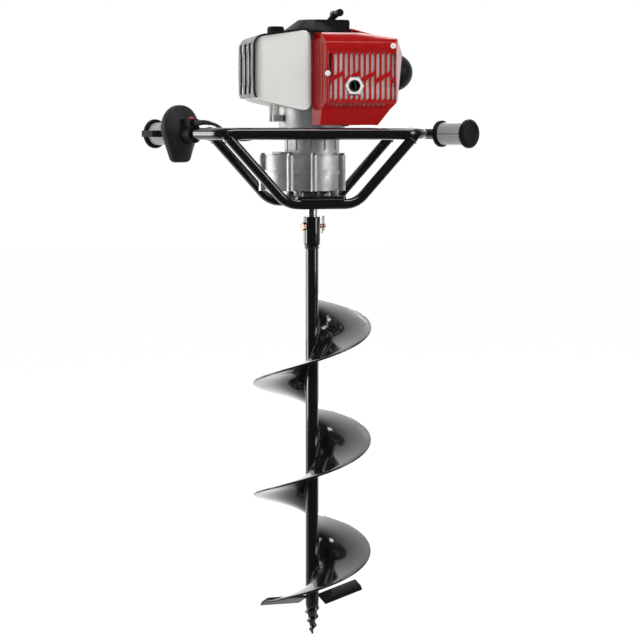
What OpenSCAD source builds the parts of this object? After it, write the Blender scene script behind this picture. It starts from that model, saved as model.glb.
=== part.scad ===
// One-man earth auger: a two-stroke power head in a tube frame, with its digging bit.
// Millimetres. The origin is the tip of the pilot point on the drive axis and +Z is up.
// +X points to the spark plug, -X to the fuel tank, -Y to the muffler.

/* [Digging bit] */
// Length from the tip of the pilot point to the top of the socket
bit_len = 800; // [700:5:1000]
// Diameter that the flight cuts
flight_d = 224; // [120:2:300]
// Rise of the flight in one turn
flight_pitch = 214; // [150:1:220]
// Turns of the flight
flight_turns = 2.65; // [1.5:0.05:2.75]
// Thickness of the flight's plate
flight_t = 4; // [2:0.5:8]
// Height of the flight's lower end above the tip
flight_foot = 80; // [72:1:95]
// Direction of the flight's lower end, seen from above
flight_az = 211; // [0:1:360]
// Outside diameter of the bit's tube
bit_tube_d = 25; // [22:1:32]
// Wall of the bit's tube
bit_tube_wall = 3; // [2:0.5:4]
// Outside diameter of the coupling socket
socket_d = 32; // [30:1:44]
// Length of the coupling socket
socket_len = 58; // [52:1:80]
// Length of the pilot point's cone
point_len = 58; // [40:1:66]
// Turns of the thread on the pilot point
point_turns = 2.5; // [1:0.5:4]
// Width of a cutting blade, back to edge
blade_w = 26; // [16:1:34]
// Thickness of a cutting blade
blade_t = 5; // [3:0.5:8]
// Downward slope of a cutting blade
blade_attack = 35; // [20:1:50]
// Rise of the blades towards their ends
blade_cone = 7; // [0:1:12]
// Diameter of the coupling pin
pin_d = 8; // [6:0.5:10]
// Depth of the coupling pin below the socket's top
pin_drop = 18; // [14:1:26]

/* [Frame] */
// Outside diameter of the ring's tube
ring_d = 22; // [19:1:28]
// Outside diameter of the cradle's tube
cradle_d = 19; // [16:1:22]
// Wall of the frame's tubes
frame_wall = 2; // [1.5:0.5:3]
// Distance between the ring's front and rear bars
ring_depth = 180; // [170:2:200]
// Where a bar turns towards its grip, from the drive axis
ring_grip_x = 181; // [170:1:190]
// Where a bar turns to close the ring, from the drive axis
ring_close_x = 196; // [194:1:206]
// Angle between a bar and its grip
grip_angle = 55; // [50:1:60]
// Length of the tube from its bend to its end in the grip
grip_reach = 180; // [172:1:200]
// Height of the ring above the cradle
cradle_rise = 128; // [120:1:140]
// Half width of the cradle at the ring
cradle_top_x = 178; // [165:1:185]
// Half width of the cradle at its foot, before the bends
cradle_foot_x = 64; // [60:1:72]
// Thickness of the cradle's plate
plate_t = 5; // [3:0.5:6]
// Half width of the cradle's plate
plate_half = 46; // [44:1:56]

/* [Grips and throttle] */
// Diameter of a grip's sleeve
sleeve_d = 42; // [36:1:46]
// Length of a grip's sleeve
sleeve_len = 57; // [54:1:66]
// Diameter of the flange at a grip's end
grip_cap_d = 54; // [50:1:60]
// Diameter of the collar at the inner end of the right grip
grip_collar_d = 50; // [46:1:56]
// Length of the throttle housing along the bar
throttle_len = 48; // [46:1:50]
// Half height of the hand guard
guard_half = 52; // [46:1:58]
// Wall of the throttle housing
throttle_wall = 3; // [2.5:0.5:4]
// Diameter of the trigger's pivot
trigger_pin_d = 5; // [4:0.5:6]
// Squeeze of the trigger at its tip
trigger_travel = 12; // [8:1:13]

/* [Gearbox] */
// Diameter of the output shaft
shaft_d = 20; // [18:1:22]
// Bare length of the output shaft between socket and hub
shaft_gap = 17; // [12:1:26]
// Tooth size of the gears (diameter per tooth)
gear_m = 1.25; // [1:0.05:1.3]
// Teeth of a pinion
pinion_teeth = 12; // [12:1:14]
// Teeth of a wheel
wheel_teeth = 60; // [54:2:60]
// Width of the output wheel
output_wheel_w = 12; // [8:1:13]
// Width of the intermediate wheel
lay_wheel_w = 8; // [6:1:10]
// Radius of the gearbox round the drive axis
case_r = 56; // [52:1:60]
// Wall of the gearbox casting
case_wall = 5; // [4:0.5:7]
// Height of the lower half of the gearbox
case_lower_h = 34; // [34:1:40]
// Height of the upper half of the gearbox
case_upper_h = 32; // [31:1:36]
// Height of the feet under the gearbox
case_foot_h = 8; // [6:1:14]
// Diameter of the small shafts and bearing bores
journal_d = 15; // [14:0.5:16]
// Outside diameter of a small bearing
bearing_d = 35; // [32:1:36]
// Width of a small bearing
bearing_w = 11; // [9:1:12]
// Outside diameter of an output bearing
output_bearing_d = 42; // [38:1:44]
// Width of an output bearing
output_bearing_w = 12; // [10:1:13]

/* [Engine] */
// Outside radius of the clutch housing
clutch_r = 51; // [48:1:54]
// Height of the clutch housing
clutch_h = 45; // [43:1:52]
// Outside radius of the clutch drum
drum_r = 40; // [34:1:42]
// Outside radius of the fan housing
fan_r = 62; // [58:1:64]
// Height of the fan housing
fan_h = 67; // [65:1:73]
// Radius of the flywheel
flywheel_r = 53; // [46:1:54]
// Outside radius of the crankcase
crankcase_r = 42; // [38:1:44]
// Height of the crankcase
crankcase_h = 84; // [82:1:92]
// Length of the cylinder from the crank axis to its head
cylinder_len = 148; // [142:1:149]
// Half width of the cylinder's fins
fin_half = 41; // [34:1:42]
// Number of fins
fin_count = 8; // [5:1:9]
// Thickness of a fin
fin_t = 3; // [2:0.5:4]
// Radius of the starter's round housing
starter_r = 55; // [52:1:58]
// Height of the starter housing
starter_h = 53; // [52:1:60]
// Radius of the starter's pulley
pulley_r = 27; // [22:1:32]
// Length of the starter's T handle
handle_len = 64; // [50:1:80]
// Bore of the exhaust outlet
exhaust_bore = 15; // [10:1:16]

/* [Covers] */
// Wall of the red covers
cover_wall = 3; // [2:0.5:3.5]
// Distance from the drive axis to the cover's front
cover_front = 104; // [102:1:110]
// Clearance between the cylinder's head and the cover's right end
cover_margin = 5; // [5:1:10]
// Slots in one row of the grille
slot_count = 13; // [9:1:14]
// Width of a grille slot
slot_w = 5.5; // [4:0.5:6]
// Reach of the plug cover past the red cover
plug_reach = 39; // [37:1:46]

/* [Fuel tank] */
// Distance from the drive axis to the tank's outer end
tank_end = 121; // [116:1:135]
// Distance from the drive axis to the tank's horns
tank_horn = 14; // [14:1:24]
// Half depth of the tank
tank_half = 82; // [80:1:88]
// Height of the tank at its horns
tank_h = 151; // [147:1:158]
// Drop of the tank's top at its outer end
tank_drop = 16; // [14:1:30]
// Rise of the tank's floor at its outer end
tank_rise = 25; // [20:1:36]
// Wall of the tank
tank_wall = 3; // [2:0.5:4]
// Diameter of the fuel cap
cap_d = 32; // [28:1:34]
// Thickness of the guard round the tank
guard_t = 3.5; // [3:0.5:8]

/* [Fits] */
// Clearance of a turning fit, on the radius
run_fit = 0.05; // [0.02:0.01:0.1]
// Clearance of a pressed or keyed seat, on the radius
seat_fit = 0.02; // [0.01:0.01:0.05]
// Gap that a weld or a seated face is drawn with
weld_gap = 0.15; // [0.1:0.05:0.3]
// Free gap between covers and other separate pieces
part_gap = 0.3; // [0.2:0.1:0.5]

/* [Hidden] */
$fn = 48;

// Heights of the stack, from the socket up to the starter
tube_r = bit_tube_d / 2;
hub_z = bit_len + shaft_gap;
cradle_z = hub_z + cradle_d / 2;
ring_z = cradle_z + cradle_rise;
plate_z = cradle_z + cradle_d / 2 + weld_gap;
case_z = plate_z + plate_t + case_foot_h;
split_z = case_z + case_lower_h;
case_top = split_z + case_upper_h;
fan_z = case_top + clutch_h;
crank_z = fan_z + fan_h;
starter_z = crank_z + crankcase_h;
starter_top = starter_z + starter_h;
cyl_z = crank_z + crankcase_h / 2;

// Gear train: two equal stages, with the intermediate shaft beside the drive axis
lay_x = -gear_m * (pinion_teeth + wheel_teeth) / 2;
pressure_angle = 20;
tooth_top = 0.8;
tooth_root = 1.05;
tooth_shift = 0.3;
tooth_play = 0.1;
wheel_tip = gear_m * (wheel_teeth / 2 + tooth_top - tooth_shift);
wheel_space = 3;
case_lay_r = wheel_tip + wheel_space + case_wall;
journal_r = journal_d / 2;
shaft_r = shaft_d / 2;
bearing_lip = 2;
low_bearing_z = case_z + bearing_lip;
low_boss_top = low_bearing_z + max(bearing_w, output_bearing_w);
wheel_gap = 1.5;
output_wheel_z = low_boss_top + wheel_gap;
high_bearing_z = case_top - bearing_lip - bearing_w;
lay_wheel_z = high_bearing_z - wheel_gap - lay_wheel_w;
pinion_over = 1;
shaft_top = output_wheel_z + output_wheel_w + 4;
spigot_r = 5;
spigot_len = 9;
seal_h = 6;

// Coupling of the bit: the shaft in its socket, with a pin across
shaft_in = 42;
pin_z = bit_len - pin_drop;
pin_az = 200;
pin_play = 0.1;
clip_r = 1.2;
flight_steps = 48;

// Clutch
clutch_floor = 4;
clutch_wall = 5;
drum_z = case_top + 2 * clutch_floor;
drum_h = 25;
drum_wall = 2.5;
drum_boss = drum_wall + 1;
shoe_z = drum_z + drum_wall + 2;
shoe_h = 16;
shoe_gap = 1.2;
crank_end_r = journal_r - 1.5;

// Bolts of the gearbox: directions round the drive axis and round the intermediate shaft
main_bolt_az = [-30, 30, -98, 98];
lay_bolt_az = [-97, 97, 180];
bolt_r = 3;
bolt_hole_r = 3.2;
bolt_column_r = 6.5;
case_bolt_xy = [
  for (a = main_bolt_az) (case_r + bolt_r) * [cos(a), sin(a)],
  for (a = lay_bolt_az) [lay_x, 0] + (case_lay_r + bolt_r) * [cos(a), sin(a)]
];
foot_xy = [for (x = [-1, 1], y = [-1, 1]) [x * 34, y * 37]];
bolt_head_h = 4;
bolt_head_r = 5.5;

// Frame
ring_r = ring_d / 2;
cradle_r = cradle_d / 2;
run_lap = 1;
bend_draw = 0.05;
ring_bend = 40;
cradle_bend = 45;
grip_dir = [-cos(grip_angle), sin(grip_angle), 0];
ring_turn = [-ring_grip_x, -ring_depth / 2, ring_z];
ring_close = [ring_close_x, -ring_depth / 2, ring_z];
close_run = (ring_close_x - ring_grip_x) / cos(grip_angle);
ring_join = [ring_close_x, ring_depth / 2 - close_run * sin(grip_angle), ring_z];
bar_path = [ring_turn + grip_reach * grip_dir, ring_turn, ring_close, ring_join];
grip_path = [ring_turn + grip_reach * grip_dir, ring_turn, ring_turn + [3 * ring_bend, 0, 0]];

// Grips, measured outward along the bar from its bend
sleeve_start = grip_reach - sleeve_len;
collar_w = 8;
cap_w = 11;
plug_len = 18;
throttle_start = sleeve_start - throttle_len;
bell_start = throttle_start + 22;
neck_r = ring_r + 6;
lever_pivot = [sleeve_start - 7, 24];
lever_tip = [grip_reach - 8, sleeve_d / 2 + trigger_travel + 7];
lever_half_h = 6;
ear_t = 3;
guard_rim = 13;
guard_ease = 1.5;
switch_x = throttle_start + 6;
switch_len = 11;
switch_slot = 18;
switch_top = neck_r + 10;

// Engine pieces along the cylinder, which points to +X
pad_x = crankcase_r + 3;
pad_half = 34;
port_half = 20;
crank_flange = 5;
fin_h = crankcase_h - 2 * crank_flange - 2;
port_y = 50;
port_x = 90;
head_len = 20;
plug_r = 6;
muffler_x = [28, 134];
muffler_z = [crank_z + 7, starter_z - 6];
muffler_front = cover_front - 12;
muffler_wall = 2;
exhaust_at = [58, -cover_front - 3, cyl_z - 28];
exhaust_r = exhaust_bore / 2 + 2.5;
exhaust_depth = 18;
carb_y = port_y + part_gap;
carb_depth = 34;
carb_half = [20, 21];
filter_y = carb_y + carb_depth + part_gap;
filter_base_t = 6;
filter_depth = 36;
filter_half = [40, 44];
filter_wall = 2.5;
choke_at = [port_x + filter_half.x - 12, filter_y, cyl_z - 30];
primer_r = 8;
primer_travel = 4;
primer_neck = 5;
arm_len = 20;

// Starter: the handle is drawn out along pull_dir from its seat
pull_dir = [sqrt(0.5), 0, sqrt(0.5)];
pull_seat = [30, 0, starter_top - 4];
seat_r = 9;
rope_r = 1.8;
handle_r = 7;
handle_lift = 24;
starter_wall = 3;
starter_side = 32;
starter_flat = 26;
rope_box = [65, 30];
pulley_z = starter_z + 8;
pulley_w = 10;
post_r = 6;
cup_r = 22;

// Red covers: outlines from the front, from above and from the side
cover_z0 = fan_z + 10;
cover_z1 = starter_z + 26;
cover_back = 34;
ledge_z = cyl_z - 60;
cover_left = 4;
cover_end = cylinder_len + cover_margin;
cover_tuck = 18;
cover_turn = 42;
groove_r = 1.4;
cover_outline = [
  [cover_left - cover_tuck, cover_z0], [cover_end - 48, cover_z0], [cover_end - 13, ledge_z + 6],
  [cover_end, cyl_z + 30], [cover_end - 15, cover_z1 - 9], [cover_end - 80, cover_z1],
  [cover_left - cover_tuck, cover_z1]
];
grille_z = [ledge_z + 5, cyl_z + 33];
grille_x = [cover_left + 9, cover_end - 22];
slot_pitch = (grille_x[1] - grille_x[0]) / (slot_count - 1);
slot_bevel = 5;
rib_gap = 2;
grille_mid = cyl_z - 12;
grille_wave = 5;
louvre_count = 12;
plug_half = 36;
screw_r = 2.5;
screw_xz = [[cover_left + 3.5, cyl_z - 6], [cover_end - 24, cover_z1 - 24]];

// Tank and guard
tank_z = fan_z + 33;
saddle_r = fan_r + 4;
tank_round = 18;
tank_outline = [
  [-tank_horn, tank_z], [-tank_horn, tank_z + tank_h],
  [-tank_end, tank_z + tank_h - tank_drop], [-tank_end, tank_z + tank_rise]
];
cap_az = 131;
cap_ring = saddle_r + tank_wall + cap_d / 2 + 1;
cap_xy = cap_ring * [cos(cap_az), sin(cap_az)];
cap_base_z = tank_z + tank_h - tank_drop * (-cap_xy.x - tank_horn) / (tank_end - tank_horn);
cap_h = 13;
neck_wall = 3.5;
foot_pad = [-fan_r - 10, 20];
foot_pad_r = 7;
lug_top = tank_z - 4;
guard_band = 13;
guard_ribs = 4;

// Throttle cable from the throttle housing, under the tank, up to the carburettor
cable_r = 3;
cable_sides = 8;
cable_points = [
  [-223.7, -29.1, 19.5], [-217, -38, 20], [-209, -44.5, 20.5], [-198.5, -48.5, 19], [-186, -49, 14.5],
  [-171, -43, 4.5], [-155, -30, -4.5], [-138, -12, -10.5], [-122, 8, -10.5], [-106, 28, -8.5], [-90, 46, -5.5],
  [-74, 60, -0.5], [-58, 69, 5.5], [-42, 75, 11.5], [-26, 80, 17.5], [-10, 85, 25.5], [4, 91, 37],
  [14, 96.5, 51], [19.5, 98.5, 66.5], [22.5, 95, 82.5], [26.5, 88, 98], [31.5, 82.7, 111.4], [39.8, 78.6, 122.5],
  [48.2, 76.9, 127.1], [57.8, 76.3, 128.65], [61.8, 76.3, 128.65]
];
cable_route = [for (p = cable_points) p + [0, 0, ring_z]];

// Height of the tank's floor at x
function tank_floor(x) = tank_z + tank_rise * (-x - tank_horn) / (tank_end - tank_horn);

// Vector and sweep helpers
function unit(v) = v / norm(v);
function side_of(w) = abs(w.z) < 0.9 ? unit(cross([0, 0, 1], w)) : unit(cross([0, 1, 0], w));
function bent_angle(p, i) = acos(unit(p[i] - p[i - 1]) * unit(p[i + 1] - p[i]));
function trim(p, i, r) = i <= 0 || i >= len(p) - 1 ? 0 : r * tan(bent_angle(p, i) / 2);

// Places children with their Z along the line from a to b
module along(a, b) {
  w = unit(b - a);
  u = side_of(w);
  v = cross(w, u);
  multmatrix([[u.x, v.x, w.x, a.x], [u.y, v.y, w.y, a.y], [u.z, v.z, w.z, a.z], [0, 0, 0, 1]])
    children();
}

// One bend of a round bar at the corner p1
module bend(p0, p1, p2, bend_r, r) {
  u = unit(p1 - p0);
  n = unit(cross(u, unit(p2 - p1)));
  turn = acos(u * unit(p2 - p1));
  inward = cross(n, u);
  e = -inward;
  c = p1 - u * bend_r * tan(turn / 2) + inward * bend_r;
  multmatrix([[e.x, u.x, n.x, c.x], [e.y, u.y, n.y, c.y], [e.z, u.z, n.z, c.z], [0, 0, 0, 1]])
    rotate_extrude(angle = turn)
      translate([bend_r, 0])
        circle(r);
}

// Straight runs of a round bar, each reaching a little into the bends beside it
module bar_runs(p, bend_r, r) {
  for (i = [1:len(p) - 1]) {
    w = unit(p[i] - p[i - 1]);
    a = p[i - 1] + w * (i == 1 ? 0 : trim(p, i - 1, bend_r) - run_lap);
    b = p[i] - w * (i == len(p) - 1 ? 0 : trim(p, i, bend_r) - run_lap);
    along(a, b) cylinder(r = r, h = norm(b - a));
  }
}

// Bends of a round bar, drawn down a little against the straight runs as bent tube is
module bar_bends(p, bend_r, r) {
  for (i = [1:len(p) - 2])
    bend(p[i - 1], p[i], p[i + 1], bend_r, r - bend_draw);
}

// Round bar along a path of straight runs with equal bends
module bent_bar(p, bend_r, r) {
  bar_runs(p, bend_r, r);
  bar_bends(p, bend_r, r);
}

// Closed strip of quads between rings of equal length, with both ends capped
module lofted(rings) {
  n = len(rings[0]);
  last = len(rings) - 1;
  points = [for (ring = rings) each ring];
  walls = [
    for (i = [0:last - 1], k = [0:n - 1])
      let (a = i * n + k, b = i * n + (k + 1) % n)
        each [[a, a + n, b], [b, a + n, b + n]]
  ];
  caps = [[for (k = [0:n - 1]) k], [for (k = [n - 1:-1:0]) last * n + k]];
  polyhedron(points = points, faces = concat(walls, caps), convexity = 10);
}

function tangent(p, i) = unit(p[min(i + 1, len(p) - 1)] - p[max(i - 1, 0)]);
function hoop(c, w, r, n) = let (u = side_of(w), v = cross(w, u))
  [for (k = [0:n - 1]) c + r * (cos(360 * k / n) * u + sin(360 * k / n) * v)];

// Outline round two circles, the second at [x, 0]
module two_circles(r0, r1, x) {
  hull($fn = 96) {
    circle(r0);
    translate([x, 0]) circle(r1);
  }
}

// Rounded outline with the given corner radius
module rounded(r) {
  offset(r = r, $fn = 32) offset(delta = -r) children();
}

// Extrudes an XZ outline along Y from y0 to y1
module along_y(y0, y1) {
  translate([0, y1, 0]) rotate([90, 0, 0]) linear_extrude(y1 - y0) children();
}

// Extrudes a YZ outline along X from x0 to x1
module along_x(x0, x1) {
  translate([x0, 0, 0]) rotate([90, 0, 90]) linear_extrude(x1 - x0) children();
}

module ring(r_out, r_in, h) {
  difference() {
    cylinder(r = r_out, h = h);
    translate([0, 0, -1]) cylinder(r = r_in, h = h + 2);
  }
}

// Spur gear outline with a tooth on +X, from the involute of its base circle
function involute_of(a) = tan(a) * 180 / PI - a;
function tooth_half(m, z, shift, r) = let (rp = m * z / 2, rb = rp * cos(pressure_angle))
  (PI / 2 + 2 * shift * tan(pressure_angle)) / z * 180 / PI - tooth_play / rp * 90 / PI
    + involute_of(pressure_angle) - (r > rb ? involute_of(acos(rb / r)) : 0);
module gear_outline(m, z, shift) {
  rp = m * z / 2;
  root = rp - m * (tooth_root - shift);
  tip = rp + m * (tooth_top + shift);
  base = max(root + 0.02, rp * cos(pressure_angle) + 0.02);
  radii = [root, base, (base + tip) / 2, tip];
  polygon([
    for (t = [0:z - 1], k = [0:7])
      let (r = radii[k < 4 ? k : 7 - k], s = k < 4 ? -1 : 1)
        let (a = 360 * t / z + s * tooth_half(m, z, shift, r))
          r * [cos(a), sin(a)]
  ]);
}

// Frame of a grip: X runs outward along the bar from its bend, Z stays up
module at_right_grip() {
  translate([ring_grip_x, ring_depth / 2, ring_z]) rotate([0, 0, -grip_angle]) children();
}
module at_left_grip() {
  rotate([0, 0, 180]) at_right_grip() children();
}
module at_each_grip() {
  at_right_grip() children();
  at_left_grip() children();
}
// Cylinder along X in the frame of a grip
module grip_rod(x0, x1, r) {
  translate([x0, 0, 0]) rotate([0, 90, 0]) cylinder(r = r, h = x1 - x0);
}

// Frame tubes
module handlebar() {
  difference() {
    bent_bar(bar_path, ring_bend, ring_r);
    bent_bar(bar_path, ring_bend, ring_r - frame_wall);
    rotate([0, 0, 180]) bar_runs(grip_path, ring_bend, ring_r + weld_gap);
    rotate([0, 0, 180]) bar_bends(grip_path, ring_bend, ring_r + weld_gap);
  }
}
module handlebar_front() {
  color("#1c1c1e") handlebar();
}
module handlebar_rear() {
  color("#1c1c1e") rotate([0, 0, 180]) handlebar();
}
module cradle_bar() {
  y = -ring_depth / 2;
  path = [
    [-cradle_top_x, y, ring_z], [-cradle_foot_x, y, cradle_z],
    [cradle_foot_x, y, cradle_z], [cradle_top_x, y, ring_z]
  ];
  difference() {
    bent_bar(path, cradle_bend, cradle_r);
    bent_bar(path, cradle_bend, cradle_r - frame_wall);
    bar_runs(bar_path, ring_bend, ring_r + weld_gap);
    bar_bends(bar_path, ring_bend, ring_r + weld_gap);
  }
}
module cradle_bar_front() {
  color("#1c1c1e") cradle_bar();
}
module cradle_bar_rear() {
  color("#1c1c1e") rotate([0, 0, 180]) cradle_bar();
}
module cradle_plate() {
  reach = ring_depth / 2 + cradle_r - 2;
  color("#202022")
    translate([0, 0, plate_z])
      difference() {
        linear_extrude(plate_t)
          difference() {
            rounded(8) square([2 * plate_half, 2 * reach], center = true);
            for (s = [-1, 1])
              translate([0, s * (reach - 24)]) rounded(6) square([48, 16], center = true);
          }
        translate([0, 0, -1]) cylinder(r = output_bearing_d / 2 + 8, h = plate_t + 2);
        for (p = foot_xy)
          translate([p.x, p.y, -1]) cylinder(r = bolt_hole_r, h = plate_t + 2);
      }
}
module hex_bolt(len) {
  rotate([180, 0, 0]) cylinder(r = bolt_r, h = len);
  cylinder(r = bolt_head_r, h = bolt_head_h, $fn = 6);
}
module plate_bolts() {
  color("#8b8d90")
    for (p = foot_xy)
      translate([p.x, p.y, plate_z]) mirror([0, 0, 1]) hex_bolt(plate_t + case_foot_h);
}

// Grips
module grip_sleeves() {
  groove = 1.5;
  color("#7d7e80")
    at_each_grip()
      difference() {
        grip_rod(sleeve_start + weld_gap, grip_reach, sleeve_d / 2);
        grip_rod(sleeve_start - 1, grip_reach + 1, ring_r + seat_fit);
        for (a = [0, 180])
          rotate([a, 0, 0])
            translate([sleeve_start - 1, sleeve_d / 2 - groove, -groove / 2])
              cube([sleeve_len + 2, 2 * groove, groove]);
      }
}
module grip_caps() {
  lip = 4;
  color("#161617")
    at_each_grip()
      translate([grip_reach + weld_gap, 0, 0])
        rotate([0, 90, 0])
          rotate_extrude()
            polygon([
              [0, -plug_len], [ring_r - frame_wall - weld_gap, -plug_len],
              [ring_r - frame_wall - weld_gap, 0], [grip_cap_d / 2 - 1, 0],
              [grip_cap_d / 2, 2], [grip_cap_d / 2, cap_w - lip], [grip_cap_d / 2 - lip, cap_w],
              [grip_cap_d / 2 - 2 * lip, cap_w], [grip_cap_d / 2 - 3 * lip, cap_w - 2], [0, cap_w - 2]
            ]);
}
module right_grip_collar() {
  color("#161617")
    at_right_grip()
      difference() {
        union() {
          grip_rod(sleeve_start - collar_w, sleeve_start - 2, grip_collar_d / 2);
          grip_rod(sleeve_start - 2, sleeve_start, grip_collar_d / 2 - 2);
          grip_rod(sleeve_start - collar_w - 8, sleeve_start - collar_w, ring_r + 3);
        }
        grip_rod(sleeve_start - collar_w - 20, sleeve_start + 1, ring_r + seat_fit);
      }
}

// Throttle housing: a bell-shaped hand guard on a neck, split upright along the bar
module guard_outline(inset) {
  top_r = guard_half - 10;
  offset(delta = -inset)
    rounded(12)
      polygon([
        for (a = [0:15:180]) [top_r * cos(a), 10 + top_r * sin(a)],
        [-19, -guard_half], [19, -guard_half]
      ]);
}
module guard_disc(x, inset) {
  translate([x, 0, 0]) rotate([90, 0, 90]) linear_extrude(0.5) guard_outline(inset);
}
// Bell between its neck and its open end, with a straight rim and eased edges
module guard_bell(start, end, neck, inset) {
  hull() {
    grip_rod(start, start + 4, neck, $fn = 32);
    guard_disc(start + (end - start) / 3, inset + 12);
    guard_disc(end - guard_rim, inset + 1);
    guard_disc(end - 3, inset);
    guard_disc(end, inset + guard_ease);
  }
}
// Two ears with the trigger's pivot between them
module trigger_ears() {
  ear_z = lever_half_h + part_gap;
  for (z = [-ear_z - ear_t, ear_z])
    translate([0, 0, z])
      linear_extrude(ear_t)
        translate(lever_pivot)
          polygon([[-10, neck_r - 5.5 - lever_pivot.y], [4, neck_r - 5.5 - lever_pivot.y], [4, 4], [-3, 4]]);
  translate([lever_pivot.x, lever_pivot.y, -ear_z - 1])
    cylinder(r = trigger_pin_d / 2, h = 2 * ear_z + 2);
}
module throttle_housing() {
  bell_end = sleeve_start - 0.5;
  difference() {
    union() {
      difference() {
        guard_bell(bell_start, bell_end, neck_r + 2, 0);
        guard_bell(bell_start + throttle_wall, bell_end + 3, neck_r - 1, throttle_wall);
      }
      grip_rod(throttle_start, sleeve_start - weld_gap, neck_r);
      translate([throttle_start + 2, -12, 0]) cube([switch_slot + 8, 24, switch_top]);
    }
    grip_rod(throttle_start - 1, sleeve_start + 1, ring_r + seat_fit);
    translate([switch_x, -5, neck_r]) cube([switch_slot, 10, 20]);
  }
}
module throttle_shell_front() {
  color("#1b1b1c")
    at_left_grip()
      union() {
        intersection() {
          throttle_housing();
          translate([0, weld_gap, -200]) cube([400, 200, 400]);
        }
        trigger_ears();
      }
}
module throttle_shell_rear() {
  color("#1b1b1c")
    at_left_grip()
      intersection() {
        throttle_housing();
        translate([0, -200 - weld_gap, -200]) cube([400, 200, 400]);
      }
}
module throttle_trigger() {
  boss = trigger_pin_d / 2 + 2;
  bow = [(lever_pivot.x + lever_tip.x) / 2, lever_tip.y];
  color("#3a3a3c")
    at_left_grip()
      difference() {
        translate([0, 0, -lever_half_h])
          linear_extrude(2 * lever_half_h) {
            translate(lever_pivot) circle(boss);
            hull() {
              translate(lever_pivot) circle(boss - 1, $fn = 32);
              translate(bow) circle(3.5, $fn = 32);
            }
            hull() {
              translate(bow) circle(3.5, $fn = 32);
              translate(lever_tip) circle(3, $fn = 32);
            }
          }
        translate([lever_pivot.x, lever_pivot.y, -lever_half_h - 1])
          cylinder(r = trigger_pin_d / 2 + run_fit, h = 2 * lever_half_h + 2);
      }
}
module stop_switch() {
  color("#c81e1e")
    at_left_grip()
      translate([switch_x + part_gap, -5 + part_gap, neck_r + part_gap]) {
        cube([switch_len, 10 - 2 * part_gap, switch_top - neck_r + 1]);
        translate([2, 0, switch_top - neck_r + 1])
          along_y(0, 10 - 2 * part_gap)
            polygon([[0, 0], [7, 0], [5.5, 2.5], [1.5, 2.5]]);
      }
}
module throttle_cable() {
  boot = 4;
  color("#141415")
    lofted([
      for (i = [0:len(cable_route) - 1])
        hoop(cable_route[i], tangent(cable_route, i), cable_r * (i < boot ? 1.8 - 0.2 * i : 1), cable_sides)
    ]);
}

// Gearbox castings
module case_columns(z, h) {
  for (p = case_bolt_xy)
    translate([p.x, p.y, z]) cylinder(r = bolt_column_r, h = h);
}
module case_bolt_holes(z, h) {
  for (p = case_bolt_xy)
    translate([p.x, p.y, z]) cylinder(r = bolt_hole_r, h = h);
}
module gearbox_lower() {
  hub_r = output_bearing_d / 2 + 6;
  flange = 4;
  color("#b4b6b8")
    difference() {
      union() {
        difference() {
          union() {
            translate([0, 0, case_z])
              linear_extrude(case_lower_h) two_circles(case_r, case_lay_r, lay_x);
            translate([0, 0, split_z - flange])
              linear_extrude(flange) two_circles(case_r + 2, case_lay_r + 2, lay_x);
            case_columns(case_z, case_lower_h);
          }
          translate([0, 0, case_z + case_wall])
            linear_extrude(case_lower_h)
              two_circles(case_r - case_wall, case_lay_r - case_wall, lay_x);
        }
        translate([0, 0, hub_z]) cylinder(r = hub_r, h = low_boss_top - hub_z);
        translate([lay_x, 0, case_z]) cylinder(r = bearing_d / 2 + 4, h = low_boss_top - case_z);
        for (p = foot_xy)
          translate([p.x, p.y, case_z - case_foot_h]) cylinder(r1 = 7, r2 = 9, h = case_foot_h + 1);
        for (a = [-126, -90, -54, 54, 90, 126])
          rotate([0, 0, a])
            along_y(-2, 2)
              polygon([
                [hub_r - 2, case_z + 1], [hub_r - 2, case_z - case_foot_h + 1],
                [hub_r + 2, case_z - case_foot_h + 1], [case_r - 8, case_z + 1]
              ]);
      }
      translate([0, 0, low_bearing_z])
        cylinder(r = output_bearing_d / 2 + seat_fit, h = output_bearing_w + case_lower_h);
      translate([0, 0, hub_z - 1])
        cylinder(r = output_bearing_d / 2 + seat_fit, h = seal_h + output_bearing_w + 1);
      translate([0, 0, hub_z]) cylinder(r = shaft_r + 3, h = low_bearing_z - hub_z + 1);
      translate([lay_x, 0, low_bearing_z])
        cylinder(r = bearing_d / 2 + seat_fit, h = bearing_w + case_lower_h);
      case_bolt_holes(case_z + case_wall, case_lower_h);
      for (p = foot_xy)
        translate([p.x, p.y, case_z - case_foot_h - 1]) cylinder(r = bolt_hole_r, h = case_foot_h + 1);
    }
}
module gearbox_upper() {
  flange = 4;
  step_r = 30;
  step_h = 6;
  color("#bcbec0")
    difference() {
      union() {
        difference() {
          union() {
            translate([0, 0, split_z + weld_gap]) {
              linear_extrude(case_upper_h - weld_gap) two_circles(case_r, case_lay_r, lay_x);
              linear_extrude(flange) two_circles(case_r + 2, case_lay_r + 2, lay_x);
            }
            case_columns(split_z + weld_gap, case_upper_h - weld_gap);
            difference() {
              translate([lay_x, 0, case_top - 1]) cylinder(r = step_r, h = step_h + 1);
              translate([0, 0, case_top]) cylinder(r = clutch_r + part_gap, h = step_h + 1);
            }
          }
          translate([0, 0, split_z - 1])
            linear_extrude(case_upper_h - case_wall + 1)
              two_circles(case_r - case_wall, case_lay_r - case_wall, lay_x);
        }
        for (x = [0, lay_x])
          translate([x, 0, high_bearing_z])
            cylinder(r = bearing_d / 2 + 4, h = case_top - high_bearing_z);
      }
      for (x = [0, lay_x])
        translate([x, 0, high_bearing_z - 1])
          cylinder(r = bearing_d / 2 + seat_fit, h = bearing_w + 1);
      translate([0, 0, high_bearing_z]) cylinder(r = journal_r + 2, h = 2 * bearing_w);
      case_bolt_holes(split_z - 1, case_upper_h + 2);
    }
}
module case_bolts() {
  color("#8b8d90")
    for (p = case_bolt_xy)
      translate([p.x, p.y, case_top]) hex_bolt(case_top - case_z - case_wall - 2);
}

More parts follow.
